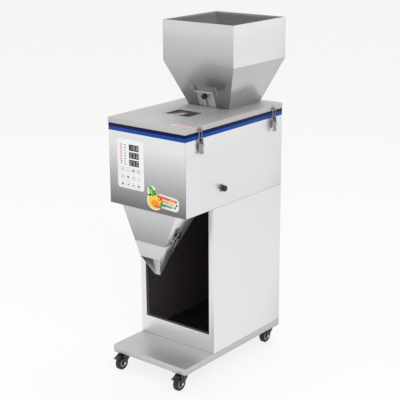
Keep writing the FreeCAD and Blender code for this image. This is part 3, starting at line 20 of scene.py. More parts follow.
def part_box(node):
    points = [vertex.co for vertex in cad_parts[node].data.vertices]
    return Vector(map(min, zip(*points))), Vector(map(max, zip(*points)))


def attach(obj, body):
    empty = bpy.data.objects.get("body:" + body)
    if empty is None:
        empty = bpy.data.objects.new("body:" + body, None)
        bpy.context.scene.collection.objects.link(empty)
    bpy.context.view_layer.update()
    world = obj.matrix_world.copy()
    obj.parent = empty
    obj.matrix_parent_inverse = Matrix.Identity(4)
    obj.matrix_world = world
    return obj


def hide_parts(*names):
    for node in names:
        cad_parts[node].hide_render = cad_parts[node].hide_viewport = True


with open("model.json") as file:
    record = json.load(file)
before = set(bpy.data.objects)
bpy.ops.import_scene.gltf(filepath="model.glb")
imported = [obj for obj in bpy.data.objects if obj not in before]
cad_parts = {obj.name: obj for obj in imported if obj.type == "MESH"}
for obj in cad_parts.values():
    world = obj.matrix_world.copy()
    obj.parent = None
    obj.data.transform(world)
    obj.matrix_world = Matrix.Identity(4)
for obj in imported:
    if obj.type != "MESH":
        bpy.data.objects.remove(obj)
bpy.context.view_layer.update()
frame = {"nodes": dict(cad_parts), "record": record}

LOG = logging.getLogger("filler")
MM = 0.001

Number = float | int
Triple = tuple[float, float, float]


# ------------------------------------------------------------------------------------ shader expressions
class Value:
    """A shader number whose arithmetic adds Math nodes to its graph."""

    def __init__(self, graph: "Graph", socket: bpy.types.NodeSocket) -> None:
        """Keep the graph and the output socket."""
        self.graph = graph
        self.socket = socket

    def _math(self, operation: str, *values: "Value | Number") -> "Value":
        """Add one Math node on the given values."""
        return self.graph.add("ShaderNodeMath", {"operation": operation}, dict(enumerate(values)))

    def __add__(self, other: "Value | Number") -> "Value":
        """Sum."""
        return self._math("ADD", self, other)

    def __sub__(self, other: "Value | Number") -> "Value":
        """Difference."""
        return self._math("SUBTRACT", self, other)

    def __rsub__(self, other: Number) -> "Value":
        """Difference from a number."""
        return self._math("SUBTRACT", other, self)

    def __mul__(self, other: "Value | Number") -> "Value":
        """Product."""
        return self._math("MULTIPLY", self, other)

    def __abs__(self) -> "Value":
        """Size without sign."""
        return self._math("ABSOLUTE", self)

    __radd__ = __add__
    __rmul__ = __mul__

    def over(self, edge: "Value | Number") -> "Value":
        """1 where this is greater than the edge, else 0."""
        return self._math("GREATER_THAN", self, edge)

    def under(self, edge: "Value | Number") -> "Value":
        """1 where this is less than the edge, else 0."""
        return self._math("LESS_THAN", self, edge)

    def between(self, low: Number, high: Number) -> "Value":
        """1 from low to high, else 0."""
        return self.over(low) * self.under(high)

    def largest(self, other: "Value | Number") -> "Value":
        """The greater of two."""
        return self._math("MAXIMUM", self, other)

    def ramp(self, low: Number, high: Number, start: Number = 0.0, end: Number = 1.0) -> "Value":
        """Linear from start at low to end at high, held at both ends."""
        return self.graph.add("ShaderNodeMapRange", {"clamp": True},
                              {0: self, 1: low, 2: high, 3: start, 4: end})


class Graph:
    """A material's node tree, filled by expressions and by one method for any other node."""

    def __init__(self, name: str) -> None:
        """Start an empty material with a Principled shader and an output."""
        self.material = bpy.data.materials.new(name)
        self.material.use_nodes = True
        self.tree = self.material.node_tree
        self.tree.nodes.clear()
        self.shader = self.tree.nodes.new("ShaderNodeBsdfPrincipled")
        self.output = self.tree.nodes.new("ShaderNodeOutputMaterial")
        self.tree.links.new(self.shader.outputs[0], self.output.inputs[0])

    def add(self, kind: str, settings: dict | None = None, inputs: dict | None = None, out: str | int = 0) -> Value:
        """Add a node.

        Args:
            kind: The node's type name.
            settings: Attributes set before the sockets, with "stops" for a ramp's colours.
            inputs: Socket name or number to a Value or a constant.
            out: The output to return.

        Returns:
            The chosen output as a Value.
        """
        node = self.tree.nodes.new(kind)
        for key, value in (settings or {}).items():
            if key == "stops":
                for _ in range(len(value) - 2):
                    node.color_ramp.elements.new(0.5)
                for element, (place, tone) in zip(node.color_ramp.elements, value):
                    element.position = place
                    element.color = (*tone, 1.0)
            else:
                setattr(node, key, value)
        for key, value in (inputs or {}).items():
            if isinstance(value, Value):
                self.tree.links.new(value.socket, node.inputs[key])
            else:
                node.inputs[key].default_value = value
        return Value(self, node.outputs[out])

    def coordinate(self) -> Value:
        """The surface point in the piece's own space, in metres."""
        return self.add("ShaderNodeTexCoord", out="Object")

    def facing(self) -> Value:
        """The surface normal in the piece's own space."""
        return self.add("ShaderNodeTexCoord", out="Normal")

    def parts(self, vector: Value) -> tuple[Value, Value, Value]:
        """X, Y and Z of a vector."""
        first = self.add("ShaderNodeSeparateXYZ", inputs={0: vector})
        node = first.socket.node
        return first, Value(self, node.outputs[1]), Value(self, node.outputs[2])

    def scaled(self, vector: Value, scale: Triple) -> Value:
        """The vector times a scale on each axis."""
        return self.add("ShaderNodeVectorMath", {"operation": "MULTIPLY"}, {0: vector, 1: scale})

    def noise(self, vector: Value, scale: Number, detail: Number = 2.0) -> Value:
        """Noise between 0 and 1."""
        return self.add("ShaderNodeTexNoise", {}, {"Vector": vector, "Scale": scale, "Detail": detail})

    def mix(self, amount: Value | Number, low: Value | Triple, high: Value | Triple, mode: str = "MIX") -> Value:
        """A colour between two colours."""
        def colour(value: Value | Triple) -> Value | tuple[float, ...]:
            return value if isinstance(value, Value) else (*value, 1.0)
        return self.add("ShaderNodeMix", {"data_type": "RGBA", "blend_type": mode},
                        {0: amount, 6: colour(low), 7: colour(high)}, out=2)

    def grey(self, value: Value) -> Value:
        """A grey colour from a number."""
        return self.add("ShaderNodeCombineColor", {}, {0: value, 1: value, 2: value})

    def bump(self, height: Value, strength: Number, distance: Number) -> Value:
        """A normal bent by a height."""
        return self.add("ShaderNodeBump", {}, {"Height": height, "Strength": strength, "Distance": distance})

    def finish(self, **sockets: Value | Number | Triple) -> bpy.types.Material:
        """Set or link the Principled shader's sockets; underscores stand for spaces.

        Returns:
            The finished material.
        """
        for key, value in sockets.items():
            socket = self.shader.inputs[key.replace("_", " ")]
            if isinstance(value, Value):
                self.tree.links.new(value.socket, socket)
            elif isinstance(value, tuple) and len(value) == 3 and socket.type == "RGBA":
                socket.default_value = (*value, 1.0)
            else:
                socket.default_value = value
        return self.material


def linear(code: str) -> Triple:
    """Scene-linear colour of a six-digit display colour."""
    parts = [int(code[i:i + 2], 16) / 255 for i in (0, 2, 4)]
    values = [c / 12.92 if c <= 0.04045 else ((c + 0.055) / 1.055) ** 2.4 for c in parts]
    return values[0], values[1], values[2]


# ------------------------------------------------------------------------------------ finishes
class Grain(Enum):
    """Direction of a brushed sheet's lines."""

    ALONG_X = (6.0, 900.0, 900.0)
    ALONG_Y = (900.0, 6.0, 900.0)
    ALONG_Z = (900.0, 900.0, 6.0)


@dataclass(frozen=True)
class BrushedSheet:
    """Brushed stainless sheet, with soft cloudy variation and fine lines.

    The colour is painted from a low tone at the low height to the tone at the high height: painted reflection and
    shade.
    """

    name: str
    tone: str = "dcdcdc"
    painted_low_tone: str = "dcdcdc"
    high: float = 1.0
    low: float = 0.0
    grain: Grain = Grain.ALONG_X
    roughness: float = 0.34
    metallic: float = 0.9
    lines: float = 0.05
    painted_side_tone: str = ""
    painted_side_low_tone: str = ""
    side_split: float = 0.0

    def build(self) -> bpy.types.Material:
        """Make the material."""
        g = Graph(self.name)
        point = g.coordinate()
        _, _, z = g.parts(point)
        lines = g.noise(g.scaled(point, self.grain.value), 1.0, 3.0)
        cloud = g.noise(point, 5.0, 2.0)
        smudge = g.noise(point, 23.0, 4.0)
        # painted reflection and shade: colour graded by height from the low tone up to the tone
        painted_falloff = z.ramp(self.low, self.high)
        base = g.mix(painted_falloff, linear(self.painted_low_tone), linear(self.tone))
        # painted light and shade: side faces take their own lighter tone, painted darker below the split height
        if self.painted_side_tone:
            across, _, _ = g.parts(g.facing())
            side = g.mix(z.over(self.side_split), linear(self.painted_side_low_tone), linear(self.painted_side_tone))
            base = g.mix(abs(across).ramp(0.4, 0.5), base, side)
        shade = 1.0 + (lines - 0.5) * self.lines * 2 + (cloud - 0.5) * 0.06
        colour = g.mix(1.0, base, g.grey(shade), "MULTIPLY")
        rough = self.roughness + (lines - 0.5) * 0.16 + (smudge - 0.5) * 0.10
        return g.finish(Base_Color=colour, Metallic=self.metallic, Roughness=rough,
                        Normal=g.bump(lines, 0.06, 0.0004))


@dataclass(frozen=True)
class BrightSteel:
    """Polished pressed or drawn steel with faint scuffs."""

    name: str
    tone: str = "c9c6c6"
    roughness: float = 0.16

    def build(self) -> bpy.types.Material:
        """Make the material."""
        g = Graph(self.name)
        point = g.coordinate()
        scuff = g.noise(point, 260.0, 4.0)
        tone = linear(self.tone)
        worn = tuple(c * 0.72 for c in tone)
        colour = g.mix(scuff.ramp(0.42, 0.75), tone, worn)
        return g.finish(Base_Color=colour, Metallic=1.0, Roughness=self.roughness + scuff * 0.14,
                        Normal=g.bump(scuff, 0.05, 0.0002))


@dataclass(frozen=True)
class Moulded:
    """Moulded plastic or rubber with a fine spark texture."""

    name: str
    tone: str = "141416"
    roughness: float = 0.45
    pit: float = 0.12
    scale: float = 1400.0

    def build(self) -> bpy.types.Material:
        """Make the material."""
        g = Graph(self.name)
        point = g.coordinate()
        spark = g.noise(point, self.scale, 2.0)
        dust = g.noise(point, 60.0, 4.0)
        tone = linear(self.tone)
        pale = tuple(min(1.0, c + 0.03) for c in tone)
        colour = g.mix(dust.ramp(0.45, 0.8), tone, pale)
        return g.finish(Base_Color=colour, Roughness=self.roughness + (spark - 0.5) * 0.2 + (dust - 0.5) * 0.1,
                        Normal=g.bump(spark, self.pit, 0.0002))


@dataclass(frozen=True)
class ShadedSeal:
    """The blue frame: bright blue, with painted shade of the lid's overhang in its upper half, deep navy above a
    soft step.
    """

    name: str
    split: float
    painted_shade_upper: str = "04083f"
    lower: str = "0f479d"

    def build(self) -> bpy.types.Material:
        """Make the material."""
        g = Graph(self.name)
        point = g.coordinate()
        _, _, z = g.parts(point)
        wander = g.noise(point, 9.0, 1.0)
        # painted shade: above the split the frame is coloured navy where the lid's overhang shades it
        step = (z + (wander - 0.5) * 0.002).ramp(self.split - 0.001, self.split + 0.001)
        colour = g.mix(step, linear(self.lower), linear(self.painted_shade_upper))
        spark = g.noise(point, 900.0, 2.0)
        return g.finish(Base_Color=colour, Roughness=0.45 + (spark - 0.5) * 0.15, Specular_IOR_Level=0.15,
                        Normal=g.bump(spark, 0.05, 0.0002))


@dataclass(frozen=True)
class ShadedPane:
    """Clear sheet coloured near-opaque dark over the trough: painted shade standing for the shaded inside seen
    through it.
    """

    name: str
    tone: str = "191719"

    def build(self) -> bpy.types.Material:
        """Make the material."""
        g = Graph(self.name)
        haze = g.noise(g.coordinate(), 30.0, 3.0)
        # painted shade: the dark tone stands for the unlit inside seen through the clear sheet
        colour = g.mix(haze.ramp(0.3, 0.8), linear(self.tone), linear("2c282c"))
        return g.finish(Base_Color=colour, Roughness=0.07 + haze * 0.06, Alpha=0.86)


@dataclass(frozen=True)
class CastIron:
    """Painted cast or potted block with a pebbled skin."""

    name: str
    tone: str = "5b5e61"

    def build(self) -> bpy.types.Material:
        """Make the material."""
        g = Graph(self.name)
        point = g.coordinate()
        skin = g.noise(point, 420.0, 3.0)
        tone = linear(self.tone)
        colour = g.mix(skin, tuple(c * 0.8 for c in tone), tone)
        return g.finish(Base_Color=colour, Roughness=0.55 + (skin - 0.5) * 0.2, Normal=g.bump(skin, 0.3, 0.0004))


@dataclass(frozen=True)
class CircuitBoard:
    """Green solder mask with paler tracks."""

    name: str

    def build(self) -> bpy.types.Material:
        """Make the material."""
        g = Graph(self.name)
        point = g.coordinate()
        x, _, z = g.parts(point)
        tracks = ((x * 400.0)._math("FRACT", x * 400.0).between(0.4, 0.6)).largest(
            (z * 300.0)._math("FRACT", z * 300.0).between(0.42, 0.58))
        colour = g.mix(tracks, linear("0d4a26"), linear("2a7a48"))
        return g.finish(Base_Color=colour, Roughness=0.4 + tracks * 0.1)


@dataclass(frozen=True)
class Printed:
    """Smooth printed film in one ink, with a slight eggshell."""

    name: str
    tone: str
    roughness: float = 0.35

    def build(self) -> bpy.types.Material:
        """Make the material."""
        g = Graph(self.name)
        shell = g.noise(g.coordinate(), 700.0, 2.0)
        tone = linear(self.tone)
        colour = g.mix(shell, tuple(c * 0.95 for c in tone), tone)
        return g.finish(Base_Color=colour, Roughness=self.roughness + (shell - 0.5) * 0.1,
                        Normal=g.bump(shell, 0.04, 0.0001))


class Palette:
    """Builds each finish once and hands it out by name."""

    def __init__(self, finishes: Iterable) -> None:
        """Build every finish."""
        self.materials = {f.name: f.build() for f in finishes}

    def __getitem__(self, name: str) -> bpy.types.Material:
        """The material of that name."""
        return self.materials[name]


# ------------------------------------------------------------------------------------ mesh helpers
def spot(node: str) -> tuple[Vector, Vector]:
    """Lowest and highest corner of a CAD node as vectors."""
    low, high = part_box(node)
    return Vector(low), Vector(high)


def frame_at(origin: Vector, out: Vector, up: Vector) -> Matrix:
    """A placement whose Z points out of a surface and whose Y points up along it."""
    z = out.normalized()
    x = up.cross(z).normalized()
    y = z.cross(x)
    return Matrix.Translation(origin) @ Matrix((x, y, z)).transposed().to_4x4()


def slab(bm: bmesh.types.BMesh, low: Sequence[float], high: Sequence[float], edge: float = 0.0,
         segments: int = 2) -> list[bmesh.types.BMVert]:
    """Add a box between two corners, with its edges rounded.

    Args:
        bm: Mesh to add to.
        low: Lowest corner.
        high: Highest corner.
        edge: Rounding, in metres.
        segments: Faces across each rounding.

    Returns:
        The box's vertices before rounding.
    """
    size = [b - a for a, b in zip(low, high)]
    centre = [(a + b) / 2 for a, b in zip(low, high)]
    made = bmesh.ops.create_cube(bm, size=1.0, matrix=Matrix.Translation(centre) @ Matrix.Diagonal((*size, 1.0)))
    if edge:
        edges = list({e for v in made["verts"] for e in v.link_edges})
        bmesh.ops.bevel(bm, geom=edges, offset=edge, segments=segments, profile=0.5, affect="EDGES", material=-1)
    return made["verts"]


def turned(bm: bmesh.types.BMesh, place: Matrix, profile: Sequence[tuple[float, float]], steps: int = 32) -> None:
    """Add a shape turned about the placement's Z.

    Args:
        bm: Mesh to add to.
        place: Where the axis stands.
        profile: Radius and height pairs, from the axis at one end to the axis at the other.
        steps: Faces round the axis.
    """
    own = bmesh.new()
    verts = [own.verts.new((radius, 0.0, height)) for radius, height in profile]
    edges = [own.edges.new(pair) for pair in zip(verts, verts[1:])]
    bmesh.ops.spin(own, geom=verts + edges, cent=(0, 0, 0), axis=(0, 0, 1), angle=2 * math.pi, steps=steps,
                   use_merge=True)
    bmesh.ops.remove_doubles(own, verts=own.verts, dist=1e-7)
    bmesh.ops.dissolve_degenerate(own, edges=own.edges, dist=1e-8)
    bmesh.ops.recalc_face_normals(own, faces=own.faces)
    bmesh.ops.transform(own, matrix=place, verts=own.verts)
    absorb(bm, own)


def absorb(bm: bmesh.types.BMesh, other: bmesh.types.BMesh) -> None:
    """Move everything from one mesh into another and free it."""
    store = bpy.data.meshes.new("passing")
    other.to_mesh(store)
    other.free()
    bm.from_mesh(store)
    bpy.data.meshes.remove(store)


def shade(mesh: bpy.types.Mesh, angle: float) -> None:
    """Smooth a mesh except where its faces meet at more than an angle in degrees."""
    mesh.polygons.foreach_set("use_smooth", [True] * len(mesh.polygons))
    mesh.set_sharp_from_angle(angle=math.radians(angle))


def piece(name: str, bm: bmesh.types.BMesh, material: bpy.types.Material, body: str, sharp: float = 40.0,
          replaces: Sequence[str] = ()) -> bpy.types.Object:
    """Turn a bmesh into a piece that rides on a body.

    Args:
        name: The piece's name.
        bm: Its mesh, freed here.
        material: Its finish.
        body: The body that it moves with.
        sharp: Faces meeting at more than this angle keep a hard edge.
        replaces: CAD nodes that the piece stands for.

    Returns:
        The new object.
    """
    mesh = bpy.data.meshes.new(name)
    bm.to_mesh(mesh)
    bm.free()
    shade(mesh, sharp)
    mesh.materials.append(material)
    made = bpy.data.objects.new(name, mesh)
    bpy.context.scene.collection.objects.link(made)
    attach(made, body)
    if replaces:
        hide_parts(*replaces)
    LOG.info("%s on %s: %d faces", name, body, len(mesh.polygons))
    return made


def softened(node: str, material: bpy.types.Material, width: float = 0.0004, segments: int = 2,
             lowest: float = 30.0) -> bpy.types.Object:
    """A merged copy of a CAD node with rounded edges, which stands for the node.

    Args:
        node: The CAD node.
        material: Its finish.
        width: Size of the rounding, in metres.
        segments: Faces across the rounding.
        lowest: Only edges that turn by more than this angle are rounded.

    Returns:
        The copy.
    """
    source = frame["nodes"][node]
    bm = bmesh.new()
    bm.from_mesh(source.data)
    bmesh.ops.remove_doubles(bm, verts=bm.verts, dist=2e-6)
    bmesh.ops.dissolve_limit(bm, angle_limit=math.radians(0.5), verts=bm.verts, edges=bm.edges)
    edges = [e for e in bm.edges if e.is_manifold and e.calc_face_angle() > math.radians(lowest)]
    if edges and width:
        bmesh.ops.bevel(bm, geom=edges, offset=width, segments=segments, profile=0.5, affect="EDGES",
                        clamp_overlap=True, material=-1)
    bmesh.ops.dissolve_degenerate(bm, edges=bm.edges, dist=1e-7)
    return piece(f"{node}_skin", bm, material, body_of(node), 35.0, (node,))


def body_of(node: str) -> str:
    """The body that holds a CAD node."""
    return next(b for b, members in frame["record"]["behaviour"]["bodies"].items() if node in members)


def pan_head(bm: bmesh.types.BMesh, place: Matrix, radius: float) -> None:
    """Add a low domed screw head with a cross recess, its axis along the placement's Z."""
    turned(bm, place, [(0, 0), (radius, 0), (radius, radius * 0.18), (radius * 0.86, radius * 0.42),
                       (radius * 0.5, radius * 0.56), (0, radius * 0.6)], 20)
    for turn in (0.0, math.pi / 2):
        arm = bmesh.new()
        slab(arm, (-radius * 0.55, -radius * 0.09, radius * 0.52), (radius * 0.55, radius * 0.09, radius * 0.63))
        bmesh.ops.transform(arm, matrix=place @ Matrix.Rotation(turn, 4, "Z"), verts=arm.verts)
        absorb(bm, arm)


# ------------------------------------------------------------------------------------ studio
@dataclass
class Studio:
    """Pale floor, soft lamps, white surround and the camera."""

    eye: Triple = (2.1358, -2.6393, 1.5897)
    turn: float = 0.6784
    dip: float = 0.293
    roll: float = -0.0073
    lens: float = 94.06
    sensor: float = 36.0
    floor_size: float = 60.0
    ambient: float = 0.62

    def surround(self) -> None:
        """White behind everything and in every reflection, softer as a source of light."""
        world = bpy.data.worlds.new("surround")
        world.use_nodes = True
        bpy.context.scene.world = world
        tree = world.node_tree
        path = tree.nodes.new("ShaderNodeLightPath")
        seen = tree.nodes.new("ShaderNodeMath")
        seen.operation = "MAXIMUM"
        either = tree.nodes.new("ShaderNodeMath")
        either.operation = "MAXIMUM"
        strength = tree.nodes.new("ShaderNodeMapRange")
        strength.inputs[3].default_value = self.ambient
        strength.inputs[4].default_value = 1.0
        tree.links.new(path.outputs["Is Camera Ray"], seen.inputs[0])
        tree.links.new(path.outputs["Is Glossy Ray"], seen.inputs[1])
        tree.links.new(seen.outputs[0], either.inputs[0])
        tree.links.new(path.outputs["Is Transmission Ray"], either.inputs[1])
        tree.links.new(either.outputs[0], strength.inputs[0])
        back = tree.nodes["Background"]
        back.inputs[0].default_value = (1.0, 1.0, 1.0, 1.0)
        tree.links.new(strength.outputs[0], back.inputs[1])

    def floor(self) -> None:
        """A plain white floor that still shows the object's shadow."""
        g = Graph("studio_floor")
        g.shader.inputs["Base Color"].default_value = (0.9, 0.9, 0.9, 1.0)
        g.shader.inputs["Roughness"].default_value = 0.9
        glow = g.tree.nodes.new("ShaderNodeEmission")
        path = g.tree.nodes.new("ShaderNodeLightPath")
        blend = g.tree.nodes.new("ShaderNodeMixShader")
        amount = Value(g, path.outputs["Is Camera Ray"]).largest(Value(g, path.outputs["Is Glossy Ray"])) * 0.8
        g.tree.links.new(amount.socket, blend.inputs[0])
        g.tree.links.new(g.shader.outputs[0], blend.inputs[1])
        g.tree.links.new(glow.outputs[0], blend.inputs[2])
        g.tree.links.new(blend.outputs[0], g.output.inputs[0])
        bm = bmesh.new()
        bmesh.ops.create_grid(bm, x_segments=1, y_segments=1, size=self.floor_size / 2)
        mesh = bpy.data.meshes.new("studio_floor")
        bm.to_mesh(mesh)
        bm.free()
        mesh.materials.append(g.material)
        floor = bpy.data.objects.new("studio_floor", mesh)
        bpy.context.scene.collection.objects.link(floor)

    def lamp(self, name: str, place: Triple, aim: Triple, size: float, power: float) -> None:
        """A square soft lamp at a place, pointed at an aim."""
        light = bpy.data.lights.new(name, "AREA")
        light.shape = "SQUARE"
        light.size = size
        light.energy = power
        lamp = bpy.data.objects.new(name, light)
        lamp.visible_glossy = False
        lamp.location = place
        lamp.rotation_euler = (Vector(place) - Vector(aim)).to_track_quat("Z", "Y").to_euler()
        bpy.context.scene.collection.objects.link(lamp)

    def camera(self) -> None:
        """A long lens to the machine's front right, a little above its lid."""
        forward = Vector((-math.sin(self.turn) * math.cos(self.dip), math.cos(self.turn) * math.cos(self.dip),
                          -math.sin(self.dip)))
        right = Vector((math.cos(self.turn), math.sin(self.turn), 0.0))
        up = right.cross(forward)
        level = right * math.cos(self.roll) + up * math.sin(self.roll)
        upright = up * math.cos(self.roll) - right * math.sin(self.roll)
        data = bpy.data.cameras.new("view")
        data.lens = self.lens
        data.sensor_width = self.sensor
        camera = bpy.data.objects.new("view", data)
        turned_to = Matrix((level, upright, -forward)).transposed().to_4x4()
        camera.matrix_world = Matrix.Translation(self.eye) @ turned_to
        bpy.context.scene.collection.objects.link(camera)
        bpy.context.scene.camera = camera

    def build(self) -> None:
        """Set the stage."""
        bpy.context.scene.view_settings.view_transform = "Standard"
        self.surround()
        self.floor()
        self.lamp("key", (2.4, -1.9, 3.0), (0.0, 0.0, 0.7), 2.4, 62.0)
        self.lamp("fill", (-2.8, -2.4, 2.0), (0.0, 0.0, 0.6), 2.8, 26.0)
        self.lamp("top", (-0.4, 1.2, 3.6), (0.0, 0.0, 0.8), 2.0, 24.0)
        self.camera()
        LOG.info("studio set")


# ------------------------------------------------------------------------------------ sub-assemblies
@dataclass
class Enclosure:
    """Tray, cabinet, housing and rear panel, with their screws, seams and dark sheets of painted shade in the
    cabinet.
    """

    palette: Palette
    screw: float = 3.2 * MM
    panel_screws: int = 4
    shade_sheet_gap: float = 0.4 * MM
    shade_sheet_thickness: float = 0.3 * MM
    shade_sheet_setback: float = 16 * MM
    shade_sheet_end: float = 2 * MM
    shade_floor_levels: tuple[float, float] = (0.2 * MM, 0.6 * MM)
    wall: float = 1.2 * MM
    lap: float = 6 * MM
    louvres: int = 6
    louvre_pitch: float = 14 * MM
    louvre_half: float = 60 * MM
    line_proud: float = 0.06 * MM

    def build(self) -> None:
        """Make every piece."""
        softened("base_tray", self.palette["tray_sheet"], 0.6 * MM)
        softened("cabinet_shell", self.palette["side_sheet"], 0.4 * MM)
        softened("housing_shell", self.palette["housing_sheet"], 0.4 * MM)
        softened("rear_service_panel", self.palette["inner_sheet"], 0.3 * MM)
        self.painted_shade_sheets()
        self.panel_fixings()
        self.louvre_hoods()
        self.seams()

    def painted_shade_sheets(self) -> None:
        """Thin dark sheets of painted shade on the cabinet's inner side walls, back wall and floor."""
        low, high = spot("cabinet_shell")
        panel_low, _ = spot("rear_service_panel")
        wall = self.wall + self.shade_sheet_gap
        front, rear = low.y + self.shade_sheet_setback, panel_low.y - 2 * self.shade_sheet_gap
        thick = self.shade_sheet_thickness
        bottom, top = low.z + self.shade_sheet_end, high.z - self.shade_sheet_end
        bm = bmesh.new()
        for side in (-1, 1):
            x = sorted((side * (high.x - wall), side * (high.x - wall - thick)))
            slab(bm, (x[0], front, bottom), (x[1], rear, top))
        slab(bm, (low.x + wall + thick, rear - thick, bottom), (high.x - wall - thick, rear, top))
        # painted shade: dark sheets stand for the shade inside the open cabinet, whose steel walls are unlit there
        piece("cabinet_painted_shade_walls", bm, self.palette["cabinet_wall_shade"], "frame")
        floor = bmesh.new()
        slab(floor, (low.x + wall + thick, front, low.z + self.shade_floor_levels[0]),
             (high.x - wall - thick, rear - thick, low.z + self.shade_floor_levels[1]))
        piece("cabinet_painted_shade_floor", floor, self.palette["cabinet_floor_shade"], "frame")

    def panel_fixings(self) -> None:
        """Cross-head screws round the rear panel's lap, on the outside of the cabinet's rear wall."""
        low, high = spot("rear_service_panel")
        _, back = spot("cabinet_shell")
        bm = bmesh.new()
        inset = self.lap
        places = []
        for i in range(self.panel_screws):
            z = low.z + inset + (high.z - low.z - 2 * inset) * i / (self.panel_screws - 1)
            places += [(x, z) for x in (low.x + inset, high.x - inset)]
        for i in range(1, 3):
            x = low.x + inset + (high.x - low.x - 2 * inset) * i / 3
            places += [(x, z) for z in (low.z + inset, high.z - inset)]
        for x, z in places:
            foot = Vector((x, back.y - 0.05 * MM, z))
            pan_head(bm, frame_at(foot, Vector((0, 1, 0)), Vector((0, 0, 1))), self.screw)
        piece("rear_panel_screws", bm, self.palette["bright_steel"], "frame", 50.0)

    def louvre_hoods(self) -> None:
        """Pressed lips over the rear panel's slots."""
        low, high = spot("rear_service_panel")
        middle = (low.z + high.z) / 2
        bm = bmesh.new()
        for i in range(self.louvres):
            z = middle + (i - (self.louvres - 1) / 2) * self.louvre_pitch
            own = bmesh.new()
            slab(own, (-self.louvre_half, high.y - 0.2 * MM, z + 2.3 * MM),
                 (self.louvre_half, high.y + 1.0 * MM, z + 3.6 * MM), 0.4 * MM)
            absorb(bm, own)
        piece("rear_panel_louvre_lips", bm, self.palette["inner_sheet"], "frame")

    def seams(self) -> None:
        """Dark joint lines where tray, cabinet, housing and fascia meet."""
        cab_low, cab_high = spot("cabinet_shell")
        house_low, house_high = spot("housing_shell")
        bm = bmesh.new()
        proud = self.line_proud
        for side in (-1, 1):
            x = sorted((side * (cab_high.x - 0.4 * MM), side * (cab_high.x + proud)))
            slab(bm, (x[0], cab_low.y, cab_low.z - 0.35 * MM), (x[1], cab_high.y, cab_low.z + 0.55 * MM))
            slab(bm, (x[0], house_low.y + 1 * MM, cab_high.z - 0.25 * MM),
                 (x[1], cab_high.y, cab_high.z + 0.4 * MM))
            slab(bm, (x[0], house_low.y - 0.25 * MM, house_low.z), (x[1], house_low.y + 0.45 * MM, house_high.z))
        slab(bm, (cab_low.x, cab_low.y - proud, cab_low.z - 0.3 * MM),
             (cab_high.x, cab_low.y + 0.4 * MM, cab_low.z + 0.4 * MM))
        piece("joint_lines", bm, self.palette["seam_dark"], "frame")


